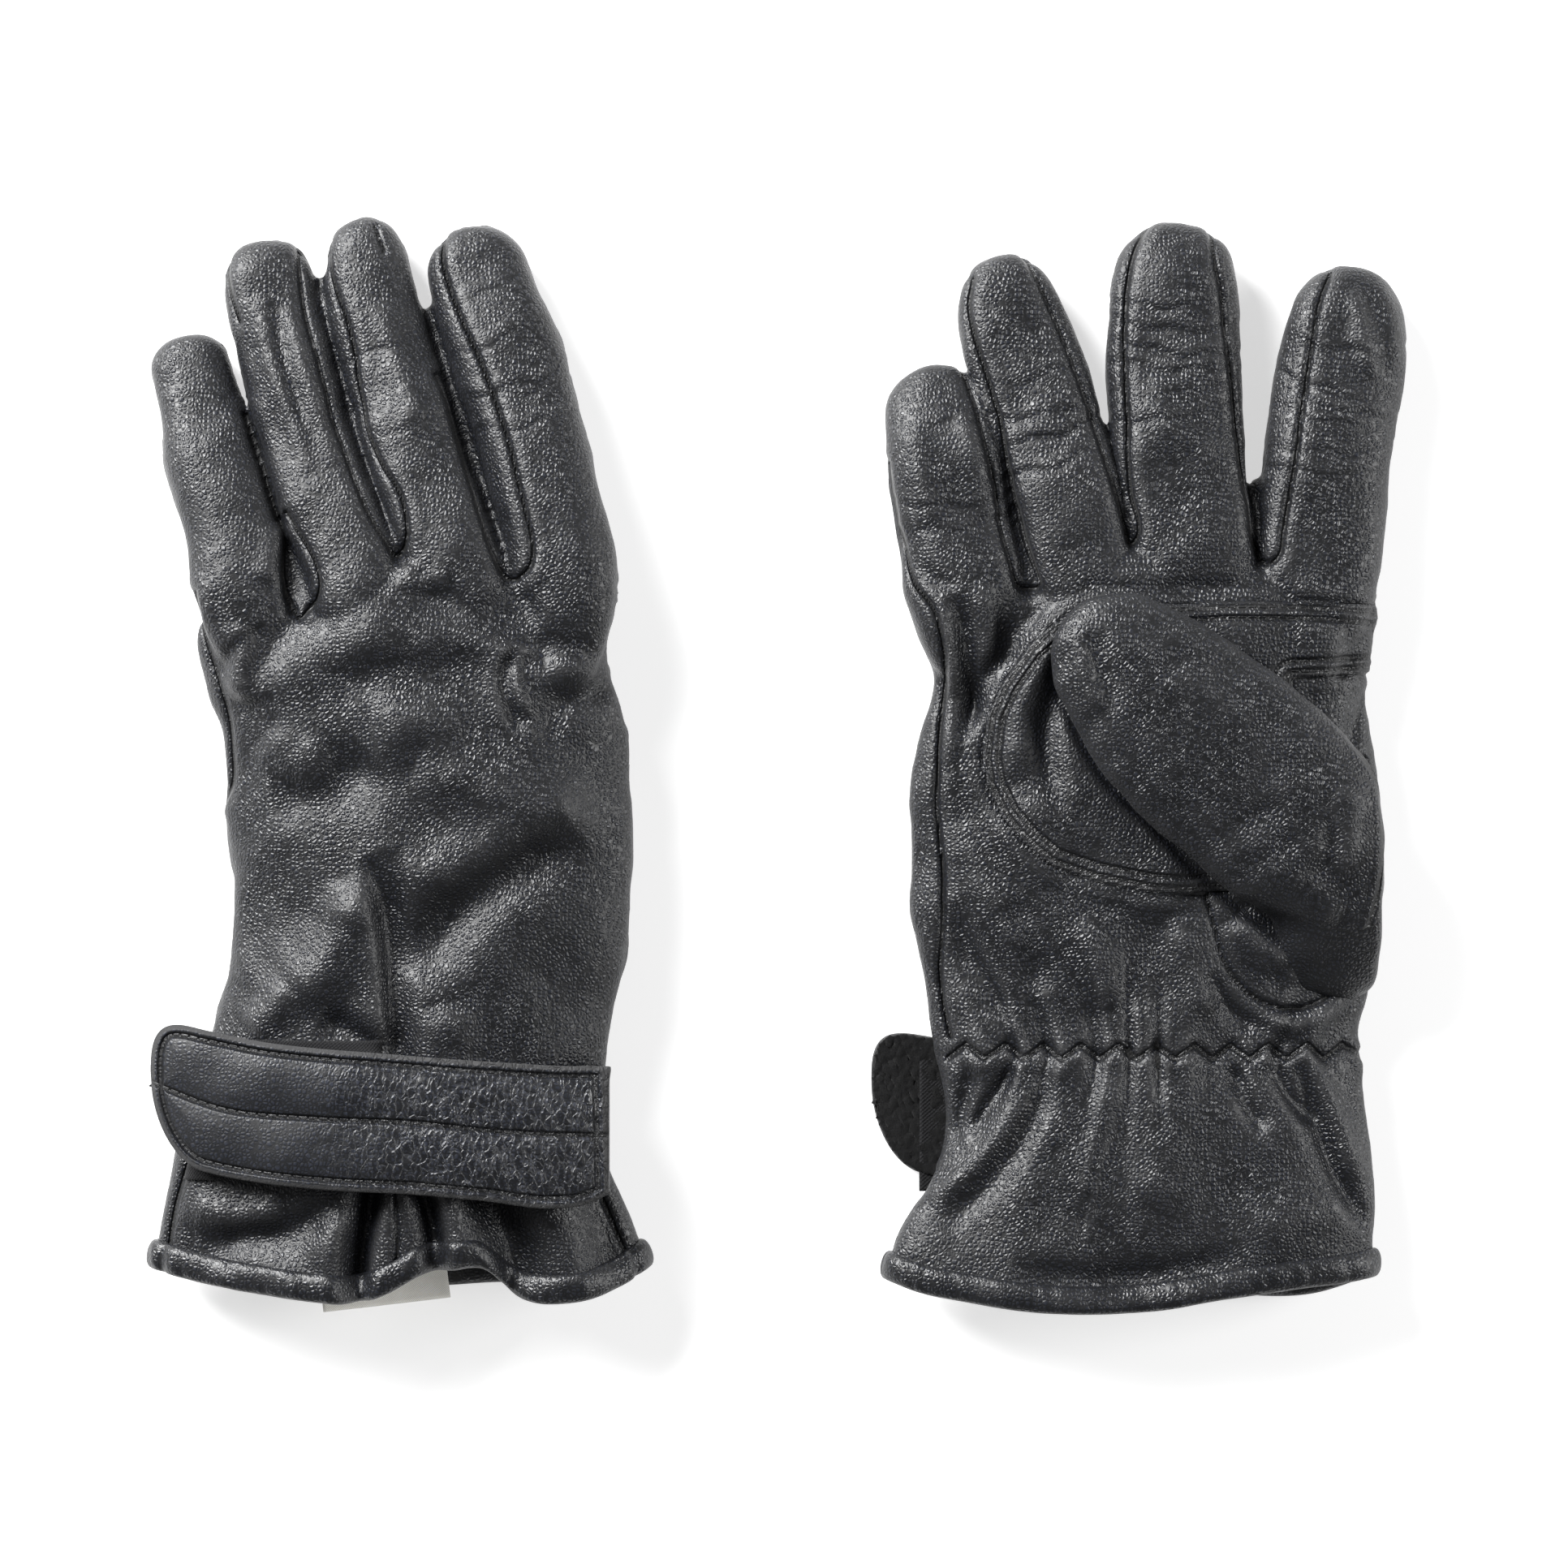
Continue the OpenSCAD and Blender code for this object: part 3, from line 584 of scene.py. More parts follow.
def fuse(name, solids, voxel):
    """One skin round several overlapping solids: a voxel remesh, its points then moved
    halfway to their neighbours' mean a few rounds. Returns its points in millimetres
    and its quads."""
    points, quads, tris, shift = [], [], [], 0
    for p, q, t in solids:
        points.append(p)
        quads.append(q + shift)
        tris.append(t + shift)
        shift += len(p)
    obj = add_object(name, mesh_from(name, np.concatenate(points), np.concatenate(quads),
                                     np.concatenate(tris)))
    remesh = obj.modifiers.new("Skin", "REMESH")
    remesh.mode = "VOXEL"
    remesh.voxel_size = voxel
    relax = obj.modifiers.new("Relax", "SMOOTH")
    relax.factor = 0.5
    relax.iterations = RELAX_ROUNDS
    seen = obj.evaluated_get(bpy.context.evaluated_depsgraph_get())
    mesh = seen.to_mesh()
    co = np.empty(len(mesh.vertices) * 3)
    mesh.vertices.foreach_get("co", co)
    corner = np.empty(len(mesh.loops), np.int64)
    mesh.loops.foreach_get("vertex_index", corner)
    seen.to_mesh_clear()
    old = obj.data
    bpy.data.objects.remove(obj)
    bpy.data.meshes.remove(old)
    return co.reshape(-1, 3) / MM, corner.reshape(-1, 4)


def normals_of(points, quads):
    """Vertex normals: each face's, by the cross of its diagonals, summed at its corners."""
    p = points[quads]
    face = np.cross(p[:, 2] - p[:, 0], p[:, 3] - p[:, 1])
    total = np.zeros_like(points)
    for k in range(3):
        total[:, k] = sum(np.bincount(quads[:, c], face[:, k], len(points)) for c in range(4))
    return unit(total)


def averaged(values, quads, rounds):
    """A value at each point, averaged with its neighbours' a few rounds."""
    a = np.concatenate([quads[:, [0, 1]], quads[:, [1, 2]], quads[:, [2, 3]], quads[:, [3, 0]]])
    i, j = np.concatenate([a[:, 0], a[:, 1]]), np.concatenate([a[:, 1], a[:, 0]])
    count = np.maximum(np.bincount(i, minlength=len(values)), 1)
    for _ in range(rounds):
        values = 0.5 * values + 0.5 * np.bincount(i, values[j], len(values)) / count
    return values


def put_values(mesh, **values):
    """Stores a number at each point of the mesh under each name."""
    for name, value in values.items():
        layer = mesh.attributes.new(name, "FLOAT", "POINT")
        layer.data.foreach_set("value", np.asarray(value, np.float32))


def cut_out(name, points, quads, normals, chosen, **values):
    """The chosen faces as their own object, with the whole skin's normals, so that the
    joint to its neighbours doesn't show."""
    faces = quads[chosen]
    used, corner = np.unique(faces, return_inverse=True)
    mesh = mesh_from(name, points[used], corner.reshape(-1, 4))
    obj = add_object(name, mesh)
    mesh.normals_split_custom_set_from_vertices(normals[used].tolist())
    put_values(mesh, **{key: value[used] for key, value in values.items()})
    return obj


def outward(mesh):
    """Turns a closed mesh's faces outward."""
    work = bmesh.new()
    work.from_mesh(mesh)
    bmesh.ops.recalc_face_normals(work, faces=work.faces)
    work.to_mesh(mesh)
    work.free()


def slab(name, top, thickness, **values):
    """A closed slab from a grid of points: the grid, the same moved against its normals
    by thickness, and a rim between them. Values are given per grid point."""
    rows, columns, _ = top.shape
    normal = unit(np.cross(np.gradient(top, axis=1), np.gradient(top, axis=0)))
    under = top - normal * thickness
    n = rows * columns
    index = np.arange(n).reshape(rows, columns)
    quads = grid_faces(rows, columns, closed=False)
    border = np.concatenate([index[0, :-1], index[:-1, -1], index[-1, :0:-1], index[:0:-1, 0]])
    after = np.roll(border, -1)
    rim = np.stack([border, border + n, after + n, after], -1)
    both = np.concatenate([top.reshape(-1, 3), under.reshape(-1, 3)])
    mesh = mesh_from(name, both, np.concatenate([quads, quads[:, ::-1] + n, rim]))
    outward(mesh)
    obj = add_object(name, mesh)
    put_values(mesh, **{key: np.concatenate([np.ravel(value)] * 2)
                        for key, value in values.items()})
    return obj


def loop_faces(rows, columns):
    """Quads of a grid that is closed both ways."""
    faces = grid_faces(rows + 1, columns)
    return np.where(faces >= rows * columns, faces - rows * columns, faces)


def loop_piece(name, rings):
    """A closed piece from rings that also close on themselves, end to end."""
    rows, columns, _ = rings.shape
    mesh = mesh_from(name, rings.reshape(-1, 3), loop_faces(rows, columns))
    outward(mesh)
    return add_object(name, mesh)


def plain_leather(obj, **values):
    """Gives a piece the values its leather reads where it has no seam and no stitches."""
    count = len(obj.data.vertices)
    plain = {"seam": np.full(count, FAR), "row": np.full(count, FAR), "run": np.zeros(count),
             "wear": np.zeros(count)}
    plain.update(values)
    put_values(obj.data, **plain)


# ---- Shading -----------------------------------------------------------------------
class Number:
    """A shader value. Arithmetic on it adds Math nodes."""

    def __init__(self, paint, socket):
        self.paint = paint
        self.socket = socket

    def _with(self, operation, first, second=0.0):
        return self.paint.math(operation, first, second)

    def __add__(self, other):
        return self._with("ADD", self, other)

    def __radd__(self, other):
        return self._with("ADD", other, self)

    def __sub__(self, other):
        return self._with("SUBTRACT", self, other)

    def __rsub__(self, other):
        return self._with("SUBTRACT", other, self)

    def __mul__(self, other):
        return self._with("MULTIPLY", self, other)

    def __rmul__(self, other):
        return self._with("MULTIPLY", other, self)

    def __truediv__(self, other):
        return self._with("DIVIDE", self, other)

    def __rtruediv__(self, other):
        return self._with("DIVIDE", other, self)

    def __abs__(self):
        return self._with("ABSOLUTE", self)


class Paint:
    """A material being mixed, with one method that adds any node."""

    def __init__(self, name):
        self.material = bpy.data.materials.new(name)
        self.material.use_nodes = True
        self.tree = self.material.node_tree
        self.shader = self.tree.nodes["Principled BSDF"]

    def node(self, kind, settings=None, **sockets):
        """Adds a node, sets its settings and then its sockets, given as values or links
        under their names, or as i0, i1 and so on by their places."""
        new = self.tree.nodes.new(kind)
        for key, value in (settings or {}).items():
            setattr(new, key, value)
        for key, value in sockets.items():
            by_place = key[0] == "i" and key[1:].isdigit()
            self.fill(new.inputs[int(key[1:]) if by_place else key.replace("_", " ")], value)
        return new

    def fill(self, target, value):
        """Links or sets one socket."""
        if isinstance(value, Number):
            self.tree.links.new(value.socket, target)
        elif isinstance(value, bpy.types.NodeSocket):
            self.tree.links.new(value, target)
        else:
            target.default_value = value

    def number(self, socket):
        """A socket as a value to reckon with."""
        return Number(self, socket)

    def math(self, operation, first, second=0.0, clamp=False):
        """One operation on two numbers."""
        made = self.node("ShaderNodeMath", {"operation": operation, "use_clamp": clamp},
                         i0=first, i1=second)
        return self.number(made.outputs[0])

    def step(self, value, low, high):
        """Eases from 0 at low to 1 at high."""
        made = self.node("ShaderNodeMapRange", {"interpolation_type": "SMOOTHSTEP"},
                         i0=value, i1=low, i2=high)
        return self.number(made.outputs[0])

    def place(self, scale, stretch=(1, 1, 1)):
        """Object coordinates in millimetres over scale, stretched by axis."""
        at = self.node("ShaderNodeTexCoord").outputs["Object"]
        size = tuple(1000.0 / scale / k for k in stretch)
        return self.node("ShaderNodeVectorMath", {"operation": "MULTIPLY"},
                         i0=at, i1=size).outputs[0]

    def bent(self, vector, by, amount):
        """A vector moved by a share of a noise colour."""
        return self.node("ShaderNodeVectorMath", {"operation": "MULTIPLY_ADD"},
                         i0=by, i1=(amount, amount, amount), i2=vector).outputs[0]

    def noise(self, size, detail=2.0, roughness=0.5):
        """A noise node whose clouds are about size millimetres wide."""
        return self.node("ShaderNodeTexNoise", None, Vector=self.place(size), Scale=1.0,
                         Detail=detail, Roughness=roughness)

    def cloud(self, size, detail=2.0, roughness=0.5):
        """The same noise as a number."""
        return self.number(self.noise(size, detail, roughness).outputs["Fac"])

    def border(self, vector, uneven=1.0):
        """Distance to the border of a scattered cell, in cells."""
        made = self.node("ShaderNodeTexVoronoi", {"feature": "DISTANCE_TO_EDGE"},
                         Vector=vector, Scale=1.0, Randomness=uneven)
        return self.number(made.outputs["Distance"])

    def value(self, name):
        """A number stored at the mesh's points."""
        made = self.node("ShaderNodeAttribute", {"attribute_name": name})
        return self.number(made.outputs["Fac"])

    def mix(self, share, first, second):
        """A colour between two, by share."""
        made = self.node("ShaderNodeMix", {"data_type": "RGBA"}, i0=share)
        self.fill(made.inputs[6], first)
        self.fill(made.inputs[7], second)
        return made.outputs[2]

    def finish(self, colour, rough, height, **constants):
        """Fills the shader: colour, roughness, a bump from a height in millimetres, and
        the sockets that are the same all over."""
        bump = self.node("ShaderNodeBump", None, Strength=1.0, Distance=MM, Height=height)
        self.fill(self.shader.inputs["Base Color"], colour)
        self.fill(self.shader.inputs["Roughness"], rough)
        self.fill(self.shader.inputs["Normal"], bump.outputs[0])
        for key, value in constants.items():
            self.shader.inputs[key.replace("_", " ")].default_value = value
        return self.material


def colour(rgb, share=1.0):
    """A colour multiplied by share, for a socket."""
    return (rgb[0] * share, rgb[1] * share, rgb[2] * share, 1.0)


def leather(name, depth=1.0, cracks=0.0, shine=0.0, tone=1.0):
    """Pebble-grained leather: rounded cells with dark borders, soft wrinkles, a groove
    where the stored seam distance is small, and thread dashes along stored rows. The dark
    borders, grooves and stitch ditches are partly the leather's own tone and partly
    painted shade in these hollows, and places that stand out are paler, partly worn by
    rubbing and partly as a painted highlight. With cracks it also crackles where it is
    worn, and is paler at its raw edge."""
    look = bpy.context.scene.glove_look
    p = Paint(name)
    warp = p.noise(2.2, 1.0).outputs["Color"]
    pebble = p.step(p.border(p.bent(p.place(look.grain / MM), warp, 0.45), 0.8), 0.0, 0.42)
    fine = p.cloud(0.35, 2.0, 0.6)
    soft = p.cloud(5.5, 3.0, 0.55)
    broad = p.cloud(26.0)
    patchy = p.cloud(2.6, 2.0, 0.6)
    smoother = p.step(p.cloud(17.0, 1.0), 0.35, 0.7)
    seam = p.value("seam")
    groove = 1.0 - p.step(seam, 0.12, 0.6)
    lips = p.step(seam, 0.4, 1.1) * (1.0 - p.step(seam, 1.1, 2.8))
    row = p.value("row")
    run = p.value("run")
    dash = abs(p.math("FRACT", run / (look.stitch / MM)) - 0.5)
    thread = (1.0 - p.step(row, 0.18, 0.42)) * (1.0 - p.step(dash, 0.34, 0.42))
    ditch = 1.0 - p.step(row, 0.2, 1.1)
    wear = p.value("wear")
    height = (pebble * (0.165 - 0.04 * smoother) + fine * 0.012) * depth
    height = height + soft * 0.1 + patchy * 0.05
    height = height - groove * 0.9 + lips * 0.2 - ditch * 0.5 + thread * 0.35
    rough = 0.38 + 0.06 * smoother - 0.08 * pebble + 0.06 * patchy + 0.15 * groove - shine
    # Tone: pebble borders darker than their tops, partly the grain's own tone and partly painted
    # shade in its hollows; patchy and broad clouds vary it at random.
    dark = (0.14 + 1.05 * pebble) * (0.72 + 0.5 * patchy) * (0.8 + 0.4 * broad)
    # Seam grooves and stitch ditches darkened: partly the seam's own dark line, partly painted
    # shade in these hollows.
    dark = dark * (1.0 - 0.8 * groove) * (1.0 - 0.65 * ditch) * tone
    if cracks:
        split = p.border(p.bent(p.place(1.7, (1.0, 2.4, 1.0)), warp, 0.9))
        crack = (1.0 - p.step(split, 0.0, 0.16)) * p.value("crack")
        height = height - crack * cracks
        rough = rough + crack * 0.2 - 0.14 * p.value("crack")
        dark = dark * (1.0 + 0.9 * crack)
    base = p.mix(p.math("MULTIPLY", dark, 0.5, clamp=True), colour(look.leather, 0.0),
                 colour(look.leather, 2.0))
    # Places that stand out turn towards the worn colour: partly worn by rubbing, partly a painted
    # highlight on the ridges.
    base = p.mix(p.math("MULTIPLY", wear, 0.55, clamp=True), base, colour(look.worn))
    base = p.mix(thread * 0.8, base, colour(look.thread))
    if cracks:
        raw = 1.0 - p.step(p.value("edge"), 0.8, 1.3)
        base = p.mix(raw, base, colour(look.worn, 0.7))
        rough = rough + 0.35 * raw
    return p.finish(base, p.math("MAXIMUM", rough, 0.16), height, Specular_IOR_Level=0.6,
                    Sheen_Weight=0.03, Sheen_Roughness=0.4)


def cloth(name, shade, weave, depth, rough=0.9, sheen=0.05, painted_glow=0.0):
    """Woven tape: two crossed sine ribs of one pitch, with loose fibres over them. Glow
    is painted light: an emission that makes white tape bright where it lies in shade."""
    p = Paint(name)
    part = p.node("ShaderNodeSeparateXYZ", None, i0=p.place(weave / (2 * math.pi)))
    warp = p.math("SINE", p.number(part.outputs[0]) + p.number(part.outputs[2]))
    weft = p.math("SINE", p.number(part.outputs[1]))
    fibre = p.cloud(0.4, 3.0, 0.7)
    patchy = p.cloud(6.0)
    rib = (warp * weft) * 0.5 + 0.5
    tone = (0.3 + 0.75 * rib + 0.35 * fibre) * (0.8 + 0.4 * patchy)
    base = p.mix(p.math("MULTIPLY", tone, 0.5, clamp=True), colour(shade, 0.0), colour(shade, 2.0))
    return p.finish(base, rough + 0.08 * fibre, rib * depth + fibre * depth * 1.4,
                    Emission_Color=colour(shade), Emission_Strength=painted_glow, Sheen_Weight=sheen,
                    Sheen_Roughness=0.5, Specular_IOR_Level=0.3)


def pile(name, shade, tuft, depth):
    """Fuzz: clumps of short fibres, from two noises of tuft and a fifth of it."""
    p = Paint(name)
    clump = p.cloud(tuft, 3.0, 0.65)
    fibre = p.cloud(tuft / 5.0, 4.0, 0.75)
    tone = 0.3 + 0.9 * clump * fibre * 2.0
    base = p.mix(p.math("MULTIPLY", tone, 0.5, clamp=True), colour(shade, 0.0), colour(shade, 2.0))
    return p.finish(base, 0.9 + 0.1 * fibre, clump * depth + fibre * depth * 0.7,
                    Sheen_Weight=0.08, Sheen_Roughness=0.6, Specular_IOR_Level=0.15)


# Each finish: how it is mixed, and its amounts.
FINISHES = {
    "shell leather": (leather, {}),
    "strap leather": (leather, {"depth": 0.4, "cracks": 0.2, "shine": -0.06, "tone": 1.5}),
    "hem leather": (leather, {"depth": 0.7, "shine": 0.03}),
    "hook tape": (cloth, {"shade": (0.016, 0.016, 0.0175), "weave": 1.0, "depth": 0.2}),
    "elastic": (cloth, {"shade": (0.02, 0.02, 0.02), "weave": 1.3, "depth": 0.2}),
    "strap pile": (pile, {"shade": (0.009, 0.009, 0.0095), "tuft": 1.6, "depth": 0.8}),
    "fleece": (pile, {"shade": (0.2, 0.21, 0.18), "tuft": 2.4, "depth": 0.9}),
    # The label tape glows: painted light that keeps it white in the mouth's shade, though it is no
    # lamp.
    "label tape": (cloth, {"shade": (0.95, 0.93, 0.87), "weave": 0.45, "depth": 0.03,
                           "rough": 0.75, "sheen": 0.1, "painted_glow": 0.16}),
}


def finish_named(kind):
    """The material of that kind, mixed once."""
    made = bpy.data.materials.get(kind)
    if made:
        return made
    mixed, amounts = FINISHES[kind]
    return mixed(kind, **amounts)


def paint(obj, kind, slot):
    """Gives a piece its material. The slot is not used."""
    obj.data.materials.clear()
    obj.data.materials.append(finish_named(kind))


# ---- The leather skin's details ------------------------------------------------------
def fold_lift(xy, folds):
    """Height of the folds at each place: each is a bell across its crest, with its own
    reach on either side, and fades out over the last fifth at its ends."""
    lift = np.zeros(len(xy))
    for points, height, reach_left, reach_right in folds:
        at = near(xy, points, 3 * max(reach_left, reach_right))
        dist, _, share, side = to_path(xy[at], points, 4 * len(points))
        reach = np.where(side > 0, reach_left, reach_right)
        ends = np.clip(np.minimum(share, 1 - share) * 5, 0, 1) ** 0.8
        lift[at] += height * np.exp(-(dist / reach) ** 2) * ends
    return lift


def crease_lift(xy, side):
    """Fine valleys across the fingers, each a thin bell that wavers a little, with a low
    ridge beyond it."""
    lift = np.zeros(len(xy))
    for k, (finger, share, depth) in enumerate(CREASES[side]):
        line = through(FINGER_LINES[side][finger], 60)
        i = int(20 + share * 39)
        along = unit(line[i, :2] - line[i - 2, :2])
        across = np.array([along[1], -along[0]])
        off = xy - line[i, :2]
        u, v = off @ along, off @ across
        wide = line[i, 3]
        lean = 0.12 * math.sin(5 * k + 1)
        waver = 0.7 * np.sin(v * 0.45 + 2 * k) + lean * v + 0.012 * v ** 2
        reach = np.clip(1.15 - np.abs(v + wide * 0.25 * math.sin(3 * k)) / wide, 0, 1) ** 0.6
        lift -= CREASE_SHARE[side] * depth * np.exp(-((u - waver) / 0.8) ** 2) * reach
        lift += 0.45 * depth * np.exp(-((u - waver - 2.2) / 1.6) ** 2) * reach
    return lift


def seam_values(xy, seams):
    """Distance to the nearest turned seam."""
    best = np.full(len(xy), FAR)
    for points in seams:
        at = near(xy, points, FAR)
        dist = to_path(xy[at], points, 5 * len(points))[0]
        best[at] = np.minimum(best[at], dist)
    return best


def patch_values(xy):
    """For the palm's second layer: how far inside its edge a place lies (negative
    outside), and the run along the edge."""
    closed = PATCH + PATCH[:1]
    dist, run, _, _ = to_path(xy, closed)
    return np.where(inside(xy, PATCH), dist, -dist), run


def gathers(xy, centre_x, half, line_y, reach, height):
    """Gathers that run out from the elastic: a comb of sines across, uneven in pitch,
    that spreads and fades with the distance from the line."""
    s = (xy[:, 0] - centre_x) / half
    away = xy[:, 1] - line_y
    spread = s / (1 + np.abs(away) * 0.012)
    phase = 30 * spread + 2.2 * np.sin(5.1 * spread + 1) + 1.3 * np.sin(11.0 * spread)
    comb = np.sin(phase) + 0.45 * np.sin(2.1 * phase + 1.7)
    fade = np.exp(-(np.abs(away) / reach) ** 1.2) * np.clip(1.15 - np.abs(s), 0, 1) ** 0.3
    return height * comb * fade


def palm_side(xy):
    """Lift, seam distance, row distance and run on a palm, in the right glove's place."""
    patch, patch_run = patch_values(xy)
    lift = fold_lift(xy, FOLDS["right"]) + crease_lift(xy, "right")
    lift += 0.9 * ease(patch / 1.2 + 0.5)
    lift += gathers(xy, 92.0, 56.0, -73.0, 13.0, 0.8)
    seam = seam_values(xy, SEAMS["right"])
    row = np.minimum(np.abs(patch - 1.6), np.abs(patch - 4.2))
    seam = np.minimum(seam, np.where(patch < 0.6, np.abs(patch) + 0.25, FAR))
    zigzag = [(x, WRIST_Y + (1.8 if k % 2 else -1.8))
              for k, x in enumerate(np.arange(42, 149, 4.8))]
    at = near(xy, zigzag, FAR)
    across, along, _, _ = to_path(xy[at], zigzag)
    closer = across < row[at]
    row[at] = np.where(closer, across, row[at])
    patch_run[at] = np.where(closer, along, patch_run[at])
    lift[at] -= 0.55 * np.exp(-(across / 1.1) ** 2)
    return lift, seam, row, patch_run


def back_side(xy):
    """Lift, seam distance, row distance and run on a back, in the left glove's place."""
    lift = fold_lift(xy, FOLDS["left"]) + crease_lift(xy, "left")
    seam = seam_values(xy, SEAMS["left"])
    return lift, seam, np.full(len(xy), FAR), np.zeros(len(xy))


def detail(side, points, normal):
    """For places on the leather: the lift along the normal from folds, seams, creases
    and soft unevenness, and the seam distance, row distance and run that are felt there.
    A seam is a bell-shaped valley with a lip on either side, a row of stitches a
    shallower valley, and the unevenness three ripples."""
    look = bpy.context.scene.glove_look
    xy = points[:, :2]
    up = ease((normal[:, 2] + 0.25) / 0.6)
    down = ease((-normal[:, 2] + 0.25) / 0.6)
    shift = np.array(TO_LEFT)
    if side == "left":
        top, under = back_side(xy), palm_side(xy - shift)
    else:
        top, under = palm_side(xy), back_side(xy + shift)
    lift = (top[0] * up + 0.6 * under[0] * down) * look.fold_depth
    lift += 0.6 * ripple(points, 34.0, 3) + 0.2 * ripple(points, 15.0, 4)
    lift += 0.04 * ripple(points, 6.0, 5)
    facing = normal[:, 2] > 0
    seam, row, run = (np.where(facing, top[k], under[k]) for k in (1, 2, 3))
    lift -= 0.35 * np.exp(-(row / 0.8) ** 2)
    lift += -0.8 * np.exp(-(seam / 1.0) ** 2) + 0.3 * np.exp(-((seam - 3.0) / 1.8) ** 2)
    return lift, seam, row, run


# Its value makes the leather paler on ridges: partly worn by rubbing, partly a painted highlight.
def rubbed_and_highlighted(points, quads):
    """How much each place stands out from its surroundings, from 0 to 1."""
    around = np.stack([averaged(points[:, k], quads, 3) for k in range(3)], 1)
    out = np.einsum("ij,ij->i", points - around, normals_of(points, quads))
    return np.clip(averaged(out, quads, 2) * 6.0, 0, 1)


def dress_skin(side, points, quads):
    """Moves a fused skin's points along its normals by its detail, and works out the
    values its leather reads."""
    normal = normals_of(points, quads)
    lift, seam, row, run = detail(side, points, normal)
    moved = points + normal * lift[:, None]
    moved[:, 2] = np.maximum(moved[:, 2], 0.15)
    return moved, normals_of(moved, quads), seam, row, run, rubbed_and_highlighted(moved, quads)


def sleeve_rings(side, v, count, inward=0.0):
    """Rings of the sleeve with its detail, moved inward along their normals. v is one
    row of shares or a share for each place round each ring."""
    across, up = squircle(count, 2.4)
    rings = sleeve(side, v, across[None], up[None])
    step = 0.004
    ahead = sleeve(side, v + step, across[None], up[None])
    round_it = np.roll(rings, -1, axis=1) - np.roll(rings, 1, axis=1)
    normal = unit(np.cross(ahead - rings, round_it))
    flat = rings.reshape(-1, 3)
    lift, seam, row, run = detail(side, flat, normal.reshape(-1, 3))
    lift = lift.reshape(rings.shape[:2])
    return rings + normal * (lift - inward)[..., None], normal, (seam, row, run)


def face_label(side, middle):
    """Which finger a face belongs to, by its centre: 0 is the hand. A face is a finger's
    if it lies beyond that finger's base line and nearest to its centre line."""
    label = np.zeros(len(middle), int)
    best = np.full(len(middle), 1e9)
    for k, finger in enumerate(FINGERS):
        base, along, _ = finger_base(side, finger)
        beyond = (middle[:, :2] - base) @ along > 0
        line = [q[:2] for q in FINGER_LINES[side][finger][1:]]
        dist = to_path(middle[:, :2], line)[0] / FINGER_LINES[side][finger][2][3]
        chosen = beyond & (dist < best) & (dist < 1.9)
        label[chosen] = k + 1
        best[chosen] = dist[chosen]
    return label


def finger_base(side, finger):
    """A finger's hinge point in plan, its direction and its hinge height, from the
    joint in the record."""
    joint = next(j for j in frame["joints"] if j["name"] == side + "_" + finger + "_flex")
    x, y, z = (c / MM for c in joint["pos_m"])
    axis = np.array(joint["axis"][:2]) * (1 if side == "right" else -1)
    return np.array([x, y]), np.array([-axis[1], axis[0]]), z


# ---- Operators -----------------------------------------------------------------------
class GloveLook(bpy.types.PropertyGroup):
    """The sizes and colours of the gloves that a maker would change."""

    leather: bpy.props.FloatVectorProperty(
        name="Leather", description="Colour of the dyed leather", subtype="COLOR",
        default=(0.0115, 0.0132, 0.0195), min=0.0, max=1.0)
    worn: bpy.props.FloatVectorProperty(
        # This colour is also laid on ridges as a painted highlight, besides rubbing and the raw
        # edge.
        name="Worn leather", description="Colour where ridges are rubbed", subtype="COLOR",
        default=(0.05, 0.05, 0.052), min=0.0, max=1.0)
    thread: bpy.props.FloatVectorProperty(
        name="Thread", description="Colour of the sewing thread", subtype="COLOR",
        default=(0.012, 0.012, 0.013), min=0.0, max=1.0)
    grain: bpy.props.FloatProperty(
        name="Grain", description="Width of a grain pebble", default=0.00108,
        min=0.0004, max=0.003, unit="LENGTH")
    stitch: bpy.props.FloatProperty(
        name="Stitch", description="Pitch of the top stitches", default=0.0026,
        min=0.0015, max=0.005, unit="LENGTH")
    fold_depth: bpy.props.FloatProperty(
        name="Fold depth", description="Share of the listed height that folds rise",
        default=1.3, min=0.0, max=2.0, subtype="FACTOR")
    skin_step: bpy.props.FloatProperty(
        name="Skin step", description="Spacing of the leather skin's points",
        default=0.00085, min=0.0005, max=0.003, unit="LENGTH")


